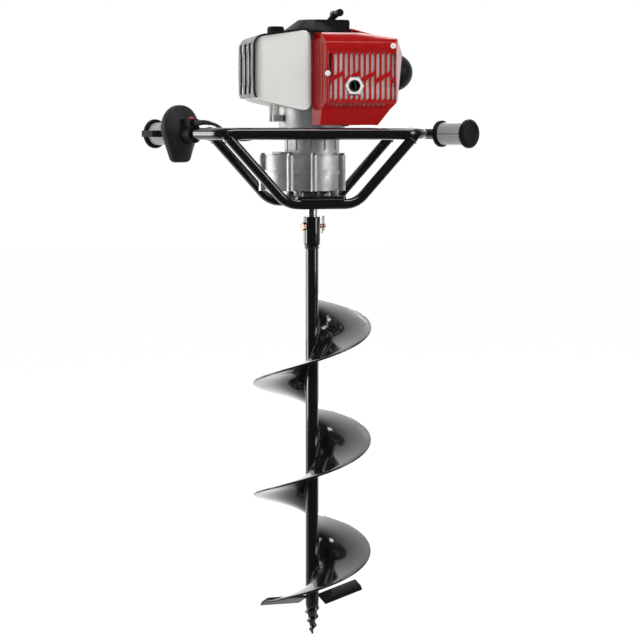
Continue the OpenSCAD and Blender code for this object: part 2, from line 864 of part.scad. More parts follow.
// Bearings are drawn as one ring with a groove between the races on both faces
module bearing(r_out, r_in, w) {
  mid = (r_out + r_in) / 2;
  band = (r_out - r_in) / 5;
  difference() {
    ring(r_out, r_in, w);
    translate([0, 0, -1]) ring(mid + band, mid - band, 2);
    translate([0, 0, w - 1]) ring(mid + band, mid - band, 2);
  }
}
module ball_bearings() {
  seats = [
    [lay_x, 0, low_bearing_z], [lay_x, 0, high_bearing_z], [0, 0, high_bearing_z],
    [0, 0, crank_z], [0, 0, starter_z - bearing_w]
  ];
  color("#c9cbce")
    for (p = seats)
      translate(p) bearing(bearing_d / 2, journal_r + run_fit, bearing_w);
}
module output_bearings() {
  color("#c9cbce")
    for (z = [low_bearing_z, hub_z + seal_h])
      translate([0, 0, z]) bearing(output_bearing_d / 2, shaft_r + run_fit, output_bearing_w);
}
module oil_seal() {
  color("#2a2a2c")
    translate([0, 0, hub_z]) ring(output_bearing_d / 2, shaft_r + 2 * run_fit, seal_h - part_gap);
}

// Shafts and gears
module across_socket() {
  translate([0, 0, pin_z]) rotate([0, 0, pin_az]) rotate([0, 90, 0]) children();
}
module pin_hole() {
  across_socket() translate([0, 0, -socket_d]) cylinder(r = pin_d / 2 + pin_play, h = 2 * socket_d);
}
module output_shaft() {
  color("#a9abad")
    difference() {
      union() {
        translate([0, 0, bit_len - shaft_in]) cylinder(r = shaft_r, h = shaft_top - bit_len + shaft_in);
        translate([0, 0, shaft_top - 2]) cylinder(r = shaft_r + 3, h = 2);
      }
      translate([0, 0, shaft_top - spigot_len - 1]) cylinder(r = spigot_r + run_fit, h = spigot_len + 2);
      pin_hole();
    }
}
module spur_wheel(w, bore_r) {
  difference() {
    linear_extrude(w)
      rotate([0, 0, 180 / wheel_teeth]) gear_outline(gear_m, wheel_teeth, -tooth_shift);
    translate([0, 0, -1]) cylinder(r = bore_r, h = w + 2);
    for (a = [0:60:300])
      rotate([0, 0, a]) translate([wheel_tip * 0.6, 0, -1]) cylinder(r = wheel_tip * 0.15, h = w + 2);
  }
}
module output_gear() {
  color("#8f9194") translate([0, 0, output_wheel_z]) spur_wheel(output_wheel_w, shaft_r + seat_fit);
}
module lay_shaft() {
  upper_z = output_wheel_z + output_wheel_w + pinion_over / 2;
  color("#9a9c9f")
    translate([lay_x, 0, 0]) {
      translate([0, 0, low_bearing_z])
        cylinder(r = journal_r, h = output_wheel_z - pinion_over / 2 - low_bearing_z);
      translate([0, 0, output_wheel_z - pinion_over])
        linear_extrude(output_wheel_w + 2 * pinion_over)
          gear_outline(gear_m, pinion_teeth, tooth_shift);
      translate([0, 0, upper_z]) cylinder(r = journal_r, h = high_bearing_z + bearing_w - upper_z);
    }
}
module lay_gear() {
  color("#8f9194") translate([lay_x, 0, lay_wheel_z]) spur_wheel(lay_wheel_w, journal_r + seat_fit);
}
module input_pinion() {
  color("#9a9c9f") {
    translate([0, 0, lay_wheel_z - pinion_over])
      linear_extrude(lay_wheel_w + 2 * pinion_over)
        rotate([0, 0, 180]) gear_outline(gear_m, pinion_teeth, tooth_shift);
    translate([0, 0, shaft_top - spigot_len])
      cylinder(r = spigot_r, h = lay_wheel_z - shaft_top + spigot_len);
    translate([0, 0, lay_wheel_z + lay_wheel_w + pinion_over / 2])
      cylinder(r = journal_r, h = drum_z + drum_boss - lay_wheel_z - lay_wheel_w - pinion_over / 2);
  }
}

// Clutch
module clutch_drum() {
  color("#6d6f72")
    translate([0, 0, drum_z])
      difference() {
        union() {
          ring(drum_r, drum_r - drum_wall, drum_h);
          cylinder(r = drum_r - 1, h = drum_wall);
          cylinder(r = journal_r + 4, h = drum_boss);
        }
        translate([0, 0, -1]) cylinder(r = journal_r + seat_fit, h = drum_wall + 4);
        for (a = [0:60:300])
          rotate([0, 0, a]) translate([drum_r * 0.6, 0, -1]) cylinder(r = 5, h = drum_wall + 2);
      }
}
module clutch_shoes() {
  shoe_r = drum_r - drum_wall - shoe_gap;
  hub_r = 13;
  color("#7f6b52")
    translate([0, 0, shoe_z]) {
      for (a = [0, 180])
        rotate([0, 0, a + 12])
          rotate_extrude(angle = 156)
            translate([hub_r + 3, 0]) square([shoe_r - hub_r - 3, shoe_h]);
      difference() {
        union() {
          cylinder(r = hub_r, h = shoe_h);
          for (a = [0, 180])
            rotate([0, 0, a])
              translate([hub_r - 2, -2.5, 0]) cube([shoe_r - hub_r - 2, 5, shoe_h]);
        }
        translate([0, 0, -1]) cylinder(r = crank_end_r + seat_fit, h = shoe_h + 2);
      }
    }
}
module clutch_housing() {
  lug_az = [45, 135, 225, 315];
  color("#b9bbbd")
    difference() {
      union() {
        translate([0, 0, case_top + weld_gap]) cylinder(r = clutch_r, h = clutch_h - weld_gap);
        translate([0, 0, fan_z - 7]) cylinder(r = clutch_r + 4, h = 7);
        for (a = lug_az)
          rotate([0, 0, a]) translate([clutch_r + 2, 0, fan_z - 9]) cylinder(r = 7, h = 9);
      }
      translate([0, 0, case_top + clutch_floor])
        cylinder(r = clutch_r - clutch_wall, h = clutch_h);
      translate([0, 0, case_top - 1]) cylinder(r = journal_r + 6, h = clutch_floor + 2);
      for (a = [0:30:330])
        rotate([0, 0, a + 15])
          translate([clutch_r, 0, case_top + 9]) cylinder(r = 2.5, h = clutch_h - 24);
    }
}

// Fan, crank and cylinder
module fan_housing() {
  floor_t = 4;
  wall = 4;
  outlet = 42;
  color("#b4b6b8")
    difference() {
      union() {
        translate([0, 0, fan_z + weld_gap]) cylinder(r = fan_r, h = fan_h - 2 * weld_gap);
        translate([0, 0, cover_z0])
          rotate([0, 0, -95])
            rotate_extrude(angle = 50)
              translate([fan_r - 2, 0]) square([saddle_r - part_gap - fan_r + 2, cover_wall]);
        for (s = [-1, 1])
          translate([foot_pad.x, s * foot_pad.y, lug_top - 12]) {
            cylinder(r = foot_pad_r, h = 12);
            translate([0, -foot_pad_r, 0]) cube([12, 2 * foot_pad_r, 12]);
          }
      }
      translate([0, 0, fan_z + floor_t]) cylinder(r = fan_r - wall, h = fan_h);
      translate([0, 0, fan_z - 1]) cylinder(r = journal_r + 4, h = floor_t + 2);
      for (a = [15:30:345])
        rotate([0, 0, a])
          translate([fan_r - 26, -3, fan_z - 1]) cube([16, 6, floor_t + 2]);
      translate([0, 0, fan_z + floor_t + 4])
        rotate([0, 0, -outlet])
          rotate_extrude(angle = 2 * outlet)
            translate([fan_r - wall - 3, 0]) square([wall + 8, fan_h - floor_t - 10]);
    }
}
module flywheel() {
  rim_z = fan_z + 12;
  rim_h = 26;
  vane_h = 18;
  color("#9fa1a4")
    difference() {
      union() {
        translate([0, 0, rim_z]) cylinder(r = flywheel_r, h = rim_h / 2);
        translate([0, 0, rim_z]) cylinder(r = journal_r + 9, h = rim_h + vane_h);
        for (a = [0:24:336])
          rotate([0, 0, a])
            translate([journal_r + 7, 0, rim_z + rim_h / 2 - 1])
              rotate([0, 0, 20])
                cube([flywheel_r - journal_r - 12, 2.5, vane_h + 1]);
      }
      translate([0, 0, rim_z - 1]) cylinder(r = journal_r + seat_fit, h = rim_h + vane_h + 2);
    }
}
module crankshaft() {
  color("#a9abad") {
    translate([0, 0, shoe_z]) cylinder(r = crank_end_r, h = shoe_h);
    translate([0, 0, shoe_z + shoe_h]) cylinder(r = journal_r, h = starter_z + 2 - shoe_z - shoe_h);
    difference() {
      translate([0, 0, starter_z + 2]) cylinder(r = cup_r, h = 3);
      for (a = [0:60:300])
        rotate([0, 0, a]) translate([cup_r, 0, starter_z + 3]) cylinder(r = 4, h = 3);
    }
  }
}
module crankcase() {
  color("#b4b6b8")
    difference() {
      union() {
        translate([0, 0, crank_z]) cylinder(r = crankcase_r, h = crankcase_h - weld_gap);
        translate([0, 0, crank_z]) cylinder(r = fan_r, h = crank_flange);
        translate([0, 0, starter_z - crank_flange]) cylinder(r = starter_r - 1, h = crank_flange - weld_gap);
        translate([0, -pad_half, cyl_z - pad_half]) cube([pad_x, 2 * pad_half, 2 * pad_half]);
        translate([0, 0, cyl_z - 3]) cylinder(r = crankcase_r + 3, h = 6);
        for (a = [110:35:250])
          rotate([0, 0, a])
            translate([crankcase_r - 2, -1.5, crank_z]) cube([9, 3, crankcase_h - 2]);
      }
      translate([0, 0, crank_z - 1]) cylinder(r = journal_r + 2, h = crankcase_h + 2);
      translate([0, 0, crank_z - 1]) cylinder(r = bearing_d / 2 + seat_fit, h = bearing_w + 1);
      translate([0, 0, starter_z - bearing_w]) cylinder(r = bearing_d / 2 + seat_fit, h = bearing_w + 1);
    }
}
module along_cylinder(x) {
  translate([x, 0, cyl_z]) rotate([0, 90, 0]) children();
}
module cylinder_fins() {
  first = pad_x + 8;
  step = (cylinder_len - head_len - first) / (fin_count - 1);
  for (i = [0:fin_count - 1])
    along_x(first + i * step, first + i * step + fin_t)
      translate([0, cyl_z]) rounded(10) square([2 * fin_half, fin_h], center = true);
}
module cylinder_block() {
  barrel_r = 27;
  color("#a8aaac")
    difference() {
      union() {
        along_x(pad_x + weld_gap, pad_x + 5)
          translate([0, cyl_z]) rounded(8) square(2 * pad_half, center = true);
        along_cylinder(pad_x + 2) cylinder(r = barrel_r, h = cylinder_len - head_len - pad_x);
        along_cylinder(cylinder_len - head_len - 2) cylinder(r1 = barrel_r + 4, r2 = 18, h = head_len + 2);
        cylinder_fins();
        translate([port_x - port_half, -port_y + weld_gap, cyl_z - port_half])
          cube([2 * port_half, 2 * (port_y - weld_gap), 2 * port_half]);
      }
      along_cylinder(cylinder_len - 14) cylinder(r = plug_r + weld_gap, h = 20);
    }
}
module spark_plug() {
  color("#e8e6df") {
    along_cylinder(cylinder_len - 13) cylinder(r = plug_r, h = 13 + weld_gap);
    along_cylinder(cylinder_len + weld_gap) cylinder(r = plug_r + 5, h = 8, $fn = 6);
    along_cylinder(cylinder_len + 8) cylinder(r1 = plug_r, r2 = plug_r - 1.5, h = 18);
    along_cylinder(cylinder_len + 25) cylinder(r = 3, h = 7);
  }
}
module plug_dome(inset) {
  along_cylinder(cover_end + part_gap)
    rotate_extrude()
      polygon([
        [0, -inset], [plug_half - inset, -inset],
        for (a = [9:9:90]) [(plug_half - inset) * cos(a), (plug_reach - inset) * sin(a)]
      ]);
}
module plug_cover() {
  color("#1b1b1c")
    difference() {
      plug_dome(0);
      plug_dome(cover_wall);
    }
}
module muffler_outline() {
  rounded(12)
    polygon([
      [muffler_x[0], muffler_z[0]], [muffler_x[1], muffler_z[0]],
      [muffler_x[1], muffler_z[1]], [muffler_x[0], muffler_z[1]]
    ]);
}
module muffler() {
  flange = 6;
  color("#c3c5c7")
    difference() {
      union() {
        along_y(-muffler_front, -port_y - flange) muffler_outline();
        translate([port_x - port_half - 8, -port_y - flange - 1, cyl_z - port_half])
          cube([2 * port_half + 16, flange + 1, 2 * port_half]);
        translate(exhaust_at) rotate([-90, 0, 0]) cylinder(r = exhaust_r, h = exhaust_depth);
        translate([exhaust_at.x, -cover_front + 1, exhaust_at.z])
          rotate([-90, 0, 0]) cylinder(r = exhaust_r + 7, h = exhaust_depth - 4, $fn = 6);
      }
      along_y(-muffler_front + muffler_wall, -port_y - flange - muffler_wall)
        offset(delta = -muffler_wall) muffler_outline();
      translate([exhaust_at.x, exhaust_at.y - 1, exhaust_at.z])
        rotate([-90, 0, 0]) cylinder(r = exhaust_bore / 2, h = exhaust_depth + 6);
    }
}

// Red covers
module cover_plan(inset, back) {
  offset(delta = -inset)
    polygon([
      [cover_left - cover_tuck, back], [cover_left - cover_tuck, -cover_front + cover_turn],
      [cover_left, -cover_front], [cover_end - 17, -cover_front],
      [cover_end, -cover_front + 26], [cover_end, back]
    ]);
}
module cover_profile(inset, back) {
  offset(delta = -inset)
    polygon([
      [-cover_front + 16, cover_z0], [-cover_front + 12, ledge_z - 10], [-cover_front, ledge_z + 2],
      [-cover_front, cover_z1 - 16], [-cover_front + 12, cover_z1], [back, cover_z1], [back, cover_z0]
    ]);
}
module cover_form(inset, back) {
  intersection() {
    along_y(-cover_front - 10, back) offset(delta = -inset) polygon(cover_outline);
    translate([0, 0, cover_z0 - 10]) linear_extrude(cover_z1 - cover_z0 + 20) cover_plan(inset, back);
    along_x(cover_left - cover_tuck - 10, cover_end + 10) cover_profile(inset, back);
  }
}
// One slot of the grille with slanting ends, from z0 to z1
module grille_slot(x, z0, z1) {
  translate([x, 0])
    polygon([
      [-slot_w / 2, z0], [slot_w / 2, z0 + slot_bevel], [slot_w / 2, z1], [-slot_w / 2, z1 - slot_bevel]
    ]);
}
module grille() {
  for (i = [0:slot_count - 1]) {
    x = grille_x[0] + i * slot_pitch;
    mid = grille_mid + (i % 3 - 1) * grille_wave;
    grille_slot(x, mid + rib_gap, grille_z[1]);
    grille_slot(x, grille_z[0], mid - rib_gap);
  }
}
module engine_cover() {
  window_r = exhaust_r + 9;
  color("#c4161c")
    difference() {
      cover_form(0, -cover_back);
      cover_form(cover_wall, -cover_back + 20);
      translate([0, 0, cover_z0 - 10]) cylinder(r = saddle_r, h = 300);
      along_y(-cover_front - 10, -cover_front + 8) {
        grille();
        translate([exhaust_at.x, exhaust_at.z]) circle(window_r, $fn = 6);
      }
      for (i = [0:louvre_count - 1])
        translate([grille_x[0] + 4 + i * (cover_end - 50) / louvre_count, -cover_front, ledge_z - 4])
          rotate([0, 30, 0]) translate([-1.5, -5, -5]) cube([3, 16, 10]);
      for (p = screw_xz)
        translate([p.x, -cover_front - 1, p.y]) rotate([-90, 0, 0]) cylinder(r = screw_r + 0.3, h = 12);
      for (t = [0.2:0.2:0.8])
        translate([cover_left - t * cover_tuck, -cover_front + t * cover_turn, ledge_z])
          cylinder(r = groove_r, h = cover_z1 - 20 - ledge_z);
    }
}
module cover_screws() {
  color("#c9cbce")
    for (p = screw_xz)
      translate([p.x, -cover_front, p.y]) {
        rotate([90, 0, 0]) cylinder(r1 = 5, r2 = 4, h = 2.5);
        rotate([-90, 0, 0]) cylinder(r = screw_r, h = 10);
      }
}
module shroud_outline() {
  polygon([
    [rope_box.x + 2, starter_z + 3], [rope_box.x + 2, starter_top - 16], [cover_end - 15, cover_z1 - 7],
    [cover_end, cyl_z + 34], [cover_end, crank_z + 6], [cover_end - 20, crank_z + 6],
    [cover_end - 20, starter_z + 3]
  ]);
}
module top_shroud() {
  rear = 46;
  color("#b8141a")
    difference() {
      along_y(-cover_back + part_gap, rear) shroud_outline();
      along_y(-cover_back - 1, rear - cover_wall)
        intersection() {
          offset(delta = -cover_wall) shroud_outline();
          translate([0, crank_z]) square([400, 400]);
        }
      along_y(-cover_back - 1, rear - cover_wall)
        polygon([
          [rope_box.x, starter_z - 20], [rope_box.x, starter_z + 4], [cover_end - cover_wall, starter_z + 4],
          [cover_end - cover_wall, crank_z], [rope_box.x, crank_z]
        ]);
      along_y(rear - cover_wall - 1, rear + 1)
        translate([cover_end - 20 - 1, crank_z]) square([20 - 5, 60]);
      along_cylinder(cover_end - 10) cylinder(r = 17, h = 20);
    }
}

// Ignition, carburettor and air filter
module ignition_coil() {
  gap = 1;
  z0 = fan_z + 12;
  color("#2b2b2d") {
    translate([flywheel_r + gap, -5, z0 + 2]) cube([14, 10, 10]);
    translate([flywheel_r + gap + 9, -15, z0]) cube([20, 30, 16]);
    for (s = [-1, 1]) {
      translate([flywheel_r + gap, s * 19 - 4, z0 + 2]) cube([12, 8, 10]);
      translate([fan_r - 5, s * 19 - 4, fan_z + 8 + weld_gap]) cube([8, 8, 8]);
    }
  }
}
module carburettor() {
  z0 = cyl_z - carb_half.y;
  color("#a3a5a8")
    difference() {
      union() {
        along_y(carb_y, carb_y + carb_depth)
          translate([port_x, cyl_z]) rounded(4) square(2 * carb_half, center = true);
        translate([port_x - 26, carb_y, cyl_z - 12]) cube([52, 5, 24]);
        translate([port_x - carb_half.x - 8, carb_y + 20, cyl_z + 8]) cube([10, 12, 12]);
        translate([port_x, carb_y + 16, z0 - 3]) cylinder(r = primer_r + 4, h = 5);
        translate([port_x, carb_y + 16, cyl_z + carb_half.y - 1]) cylinder(r = 3, h = 6);
      }
      translate([port_x, carb_y - 1, cyl_z]) rotate([-90, 0, 0]) cylinder(r = 9, h = carb_depth + 2);
      translate([port_x, carb_y + 16, z0 - 4])
        cylinder(r = primer_r + part_gap, h = primer_neck + primer_travel);
    }
}
module throttle_arm() {
  z = cyl_z + carb_half.y + part_gap;
  color("#c9cbce")
    translate([port_x, carb_y + 16, z])
      difference() {
        linear_extrude(2.5) {
          circle(6);
          hull() {
            circle(5, $fn = 32);
            translate([-arm_len, 0]) circle(3.5, $fn = 32);
          }
        }
        translate([0, 0, -1]) cylinder(r = 3 + run_fit, h = 5);
        translate([-arm_len, 0, -1]) cylinder(r = 1.5, h = 5);
      }
}
module primer_bulb() {
  color("#d9d6c8")
    translate([port_x, carb_y + 16, cyl_z - carb_half.y]) {
      translate([0, 0, -primer_neck]) cylinder(r = primer_r, h = primer_neck);
      intersection() {
        translate([0, 0, -primer_neck]) sphere(primer_r);
        translate([0, 0, -primer_neck - primer_r]) cylinder(r = primer_r, h = primer_r);
      }
    }
}
module filter_outline() {
  translate([port_x, cyl_z]) rounded(12) square(2 * filter_half, center = true);
}
module air_filter_base() {
  color("#1d1d1f")
    difference() {
      along_y(filter_y, filter_y + filter_base_t) filter_outline();
      translate([port_x, filter_y - 1, cyl_z]) rotate([-90, 0, 0]) cylinder(r = 10, h = filter_base_t + 2);
      translate([choke_at.x, filter_y - 1, choke_at.z])
        rotate([-90, 0, 0]) cylinder(r = 3 + run_fit, h = filter_base_t + 2);
    }
}
module choke_lever() {
  color("#d8d8d4")
    translate([choke_at.x, filter_y, choke_at.z]) rotate([-90, 0, 0]) {
      cylinder(r = 3, h = filter_base_t - 1);
      translate([0, 0, -4 - part_gap])
        linear_extrude(4)
          hull() {
            circle(6, $fn = 32);
            translate([28, 0]) circle(4, $fn = 32);
          }
      translate([0, 0, -1]) cylinder(r = 3, h = 2);
    }
}
module air_filter_cover() {
  y0 = filter_y + filter_base_t + weld_gap;
  color("#1d1d1f")
    difference() {
      hull() {
        along_y(y0, y0 + filter_depth - 12) filter_outline();
        along_y(y0, y0 + filter_depth) offset(delta = -8) filter_outline();
      }
      along_y(y0 - 1, y0 + filter_depth - 14) offset(delta = -filter_wall) filter_outline();
      for (i = [-3:3])
        translate([port_x + i * 9 - 2, y0 + filter_depth - 4, cyl_z - 30]) cube([4, 10, 60]);
    }
}

// Recoil starter
module starter_shape(inset) {
  rotate_extrude()
    polygon([
      [0, 0], [starter_r - inset, 0], [starter_r - inset, starter_side - inset / 2],
      [starter_flat - inset, starter_h - inset], [0, starter_h - inset]
    ]);
}
module starter_housing() {
  slot_from = starter_flat + 6;
  color("#19191a")
    difference() {
      union() {
        translate([0, 0, starter_z]) starter_shape(0);
        along_y(-rope_box.y, rope_box.y)
          polygon([
            [0, starter_z + 4], [rope_box.x, starter_z + 4], [rope_box.x, starter_top - 3],
            [rope_box.x - 3, starter_top], [0, starter_top]
          ]);
      }
      difference() {
        translate([0, 0, starter_z - 1]) starter_shape(starter_wall);
        translate([0, 0, starter_z]) cylinder(r = post_r + 3, h = starter_h);
      }
      translate([0, 0, starter_z - 1]) cylinder(r = post_r + 4, h = pulley_z - starter_z - 1);
      translate([0, 0, starter_z - 1])
        ring(post_r + 4, post_r, pulley_z + pulley_w + 2 - starter_z);
      along(pull_seat, pull_seat + pull_dir) translate([0, 0, -60]) cylinder(r = rope_r + 1, h = 100);
      along(pull_seat, pull_seat + pull_dir) cylinder(r = seat_r, h = 40);
      for (a = [100:20:260])
        rotate([0, 0, a])
          translate([slot_from, -2.5, starter_z + starter_side - 14]) cube([40, 5, 10]);
    }
}
module starter_pulley() {
  groove = 6;
  color("#e6e2d6")
    translate([0, 0, pulley_z])
      rotate_extrude()
        polygon([
          [post_r + run_fit, 0], [pulley_r, 0], [pulley_r, 2], [pulley_r - groove, 3],
          [pulley_r - groove, pulley_w - 3], [pulley_r, pulley_w - 2], [pulley_r, pulley_w],
          [post_r + run_fit, pulley_w]
        ]);
}
module starter_rope() {
  color("#e9e9e4")
    translate([0, 0, pulley_z + pulley_w / 2])
      rotate_extrude() translate([pulley_r - 6 + rope_r + weld_gap, 0]) circle(rope_r);
}
module starter_handle() {
  color("#141415") {
    along(pull_seat, pull_seat + pull_dir) {
      translate([0, 0, -14]) cylinder(r = rope_r, h = 20);
      translate([0, 0, 1]) cylinder(r1 = 5, r2 = 6.5, h = handle_lift - 1);
    }
    translate(pull_seat + handle_lift * pull_dir)
      rotate([90, 0, 0])
        rotate_extrude()
          polygon([
            [0, -handle_len / 2], [handle_r - 2, -handle_len / 2], [handle_r, -handle_len / 2 + 3],
            [handle_r - 1, 0], [handle_r, handle_len / 2 - 3], [handle_r - 2, handle_len / 2],
            [0, handle_len / 2]
          ]);
  }
}

// Fuel tank
module tank_form(inset) {
  difference() {
    intersection() {
      along_y(-200, 200) offset(delta = -inset) rounded(tank_round) polygon(tank_outline);
      translate([0, 0, tank_z - 10])
        linear_extrude(tank_h + 20)
          offset(delta = -inset)
            rounded(tank_round)
              polygon([
                [-tank_horn, -tank_half], [-tank_horn, tank_half],
                [-tank_end, tank_half - 6], [-tank_end, -tank_half + 6]
              ]);
    }
    translate([0, 0, tank_z - 20]) cylinder(r = saddle_r + inset, h = tank_h + 60);
  }
}
module fuel_tank() {
  color("#eceae2")
    difference() {
      union() {
        tank_form(0);
        translate([cap_xy.x, cap_xy.y, cap_base_z - 6]) cylinder(r = cap_d / 2 - neck_wall, h = 18);
        for (s = [-1, 1])
          translate([foot_pad.x, s * foot_pad.y, lug_top + weld_gap])
            cylinder(r = foot_pad_r - 1, h = tank_floor(foot_pad.x) - lug_top + 2);
      }
      tank_form(tank_wall);
      translate([cap_xy.x, cap_xy.y, cap_base_z - 12])
        cylinder(r = cap_d / 2 - 2 * neck_wall, h = 40);
    }
}
module fuel_cap() {
  lift = 4.5;
  color("#161617")
    translate([cap_xy.x, cap_xy.y, cap_base_z + lift])
      difference() {
        union() {
          cylinder(r = cap_d / 2 - 1, h = cap_h);
          for (a = [0:20:340])
            rotate([0, 0, a]) translate([cap_d / 2 - 1, 0, 0]) cylinder(r = 1.2, h = cap_h - 3);
        }
        translate([0, 0, -1]) cylinder(r = cap_d / 2 - neck_wall + part_gap, h = 12 - lift + 1 + part_gap);
      }
}
module tank_guard() {
  step = 2 * (tank_half - 10) / (guard_ribs - 1);
  slot_h = (tank_h - tank_drop - tank_rise) / 2 - 9;
  slot_half = [for (t = [-1:0.1:1]) [step * (0.2 + 0.17 * t * t), slot_h * t]];
  slot_mid = tank_z + tank_h / 2 + (tank_rise - tank_drop) / 2;
  color("#19191a")
    difference() {
      along_y(-tank_half + 1, tank_half - 1)
        intersection() {
          difference() {
            offset(r = guard_t + part_gap, $fn = 32) rounded(tank_round) polygon(tank_outline);
            offset(r = part_gap, $fn = 32) rounded(tank_round) polygon(tank_outline);
          }
          union() {
            translate([-tank_end - 40, tank_z + tank_rise + 2]) square([52, tank_h]);
            translate([-tank_end - 40, tank_z + tank_h - tank_drop - 2])
            square([tank_end + 40 - tank_horn, 80]);
          }
        }
      translate([-tank_end + 14, -tank_half + guard_band, tank_z])
        cube([tank_end - tank_horn - 26, 2 * (tank_half - guard_band), 300]);
      translate([cap_xy.x, cap_xy.y, tank_z]) cylinder(r = cap_d / 2 + 4, h = 300);
      translate([cap_xy.x, 0, tank_z]) cube([200, 200, 300]);
      for (i = [0:guard_ribs - 2])
        along_x(-tank_end - 30, -tank_end + 4)
          translate([-tank_half + 10 + (i + 0.5) * step, slot_mid])
            polygon(concat(slot_half, [for (p = slot_half) -p]));
      translate([0, 0, tank_z]) cylinder(r = starter_r + part_gap, h = 300);
    }
}

// Digging bit
module bit_socket() {
  color("#1d1d1f")
    difference() {
      translate([0, 0, bit_len - socket_len])
        rotate_extrude()
          polygon([
            [0, 0], [tube_r, 0], [socket_d / 2, 8], [socket_d / 2, socket_len - 1],
            [socket_d / 2 - 1, socket_len], [0, socket_len]
          ]);
      translate([0, 0, bit_len - shaft_in - 2]) cylinder(r = shaft_r + run_fit, h = shaft_in + 4);
      pin_hole();
    }
}
module bit_tube() {
  color("#1d1d1f")
    translate([0, 0, point_len])
      ring(tube_r, tube_r - bit_tube_wall, bit_len - socket_len - point_len);
}
module bit_flight() {
  count = round(flight_turns * flight_steps);
  inner = tube_r + weld_gap;
  color("#1d1d1f")
    lofted([
      for (i = [0:count])
        let (t = i / flight_steps, a = flight_az + 360 * t, z = flight_foot + flight_pitch * t)
          let (d = [cos(a), sin(a)])
            [
              [inner * d.x, inner * d.y, z], [flight_d / 2 * d.x, flight_d / 2 * d.y, z],
              [flight_d / 2 * d.x, flight_d / 2 * d.y, z + flight_t], [inner * d.x, inner * d.y, z + flight_t]
            ]
    ]);
}
module bit_blades() {
  color("#2a2a2c")
    for (a = [0, 180])
      rotate([0, 0, flight_az + a])
        translate([0, -weld_gap, flight_foot - 8])
          rotate([0, -blade_cone, 0])
            translate([tube_r + 2 * part_gap, 0, 0])
              rotate([blade_attack, 0, 0])
                along_x(0, flight_d / 2 - tube_r)
                  polygon([[0, 0], [0, blade_t], [-blade_w + 8, blade_t], [-blade_w, 0]]);
}
module pilot_point() {
  spigot = 14;
  tip_r = 1.2;
  sides = 24;
  levels = 44;
  pitch = (point_len - 14) / point_turns;
  thread = 5;
  color("#2a2a2c") {
    lofted([
      for (i = [0:levels])
        let (z = point_len * i / levels, core = tip_r + (tube_r - tip_r) * i / levels)
          [
            for (k = [0:sides - 1])
              let (phase = z / pitch - k / sides, lift = 1 - 3.5 * abs(phase - round(phase)))
                let (fade = min(1, z / 12, (point_len - z) / 12))
                  let (r = core + thread * fade * max(0, lift), a = 360 * k / sides)
                    [r * cos(a), r * sin(a), z]
          ]
    ]);
    translate([0, 0, point_len - 3]) cylinder(r = tube_r - bit_tube_wall - weld_gap, h = spigot + 3);
  }
}
module coupling_pin() {
  head = 5.5;
  tail = socket_d / 2 + 12;
  color("#b98b74")
    across_socket()
      difference() {
        union() {
          translate([0, 0, -tail]) cylinder(r = pin_d / 2, h = tail + socket_d / 2 + 1);
          translate([0, 0, socket_d / 2 + weld_gap]) cylinder(r = pin_d * 0.95, h = head, $fn = 6);
        }
        translate([0, 0, -tail + 5]) rotate([0, 90, 0]) cylinder(r = clip_r + 0.2, h = 40, center = true);
      }
}
module pin_clip() {
  x = -socket_d / 2 - 7;
  gap = pin_d / 2 + clip_r + 0.3;
  path = [[14, 0, x], [-18, 0, x], [-18, gap, x], [9, gap, x]];
  color("#b9bbbd") across_socket() bent_bar(path, gap / 2 - 0.01, clip_r);
}

handlebar_front();
handlebar_rear();
cradle_bar_front();
cradle_bar_rear();
cradle_plate();
plate_bolts();
grip_sleeves();
grip_caps();
right_grip_collar();
throttle_shell_front();
throttle_shell_rear();
throttle_trigger();
stop_switch();
throttle_cable();
gearbox_lower();
gearbox_upper();
case_bolts();
ball_bearings();
output_bearings();
oil_seal();
output_shaft();
output_gear();
lay_shaft();
lay_gear();
input_pinion();
clutch_drum();
clutch_shoes();
clutch_housing();
fan_housing();
flywheel();
crankshaft();
crankcase();
cylinder_block();
spark_plug();
plug_cover();
muffler();
engine_cover();
top_shroud();
cover_screws();
ignition_coil();
carburettor();
throttle_arm();
choke_lever();
primer_bulb();
air_filter_base();
air_filter_cover();
starter_housing();
starter_pulley();
starter_rope();
starter_handle();
fuel_tank();
fuel_cap();
tank_guard();
bit_socket();
bit_tube();
bit_flight();
bit_blades();
pilot_point();
coupling_pin();
pin_clip();
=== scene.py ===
"""Looks of the earth auger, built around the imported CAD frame."""
import math

import bmesh
import bpy
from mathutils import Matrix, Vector


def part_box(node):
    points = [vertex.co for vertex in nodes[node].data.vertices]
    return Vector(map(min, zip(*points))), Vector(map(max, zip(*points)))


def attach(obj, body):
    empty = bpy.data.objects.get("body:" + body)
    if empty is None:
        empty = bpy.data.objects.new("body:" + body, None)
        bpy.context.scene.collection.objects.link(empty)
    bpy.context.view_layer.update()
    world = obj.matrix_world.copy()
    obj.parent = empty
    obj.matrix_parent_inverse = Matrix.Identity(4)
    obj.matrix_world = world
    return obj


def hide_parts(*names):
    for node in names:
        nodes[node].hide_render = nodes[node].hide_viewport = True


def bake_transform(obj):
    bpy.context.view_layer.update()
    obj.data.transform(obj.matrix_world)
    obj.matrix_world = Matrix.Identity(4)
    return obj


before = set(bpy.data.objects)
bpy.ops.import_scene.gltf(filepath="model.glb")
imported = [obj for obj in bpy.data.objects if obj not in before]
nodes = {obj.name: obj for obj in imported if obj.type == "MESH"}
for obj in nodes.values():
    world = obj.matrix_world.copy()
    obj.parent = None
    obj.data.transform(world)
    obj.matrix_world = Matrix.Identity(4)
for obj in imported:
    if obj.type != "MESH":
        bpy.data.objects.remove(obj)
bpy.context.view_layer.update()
scene = bpy.context.scene
scene.view_settings.view_transform = "Standard"

# Camera at the photograph's angle, in metres
CAM_AZIMUTH = math.radians(-11.5)
CAM_DISTANCE, CAM_HEIGHT = 3.5, 0.955
AIM_RIGHT, AIM_HEIGHT = 0.015, 0.605


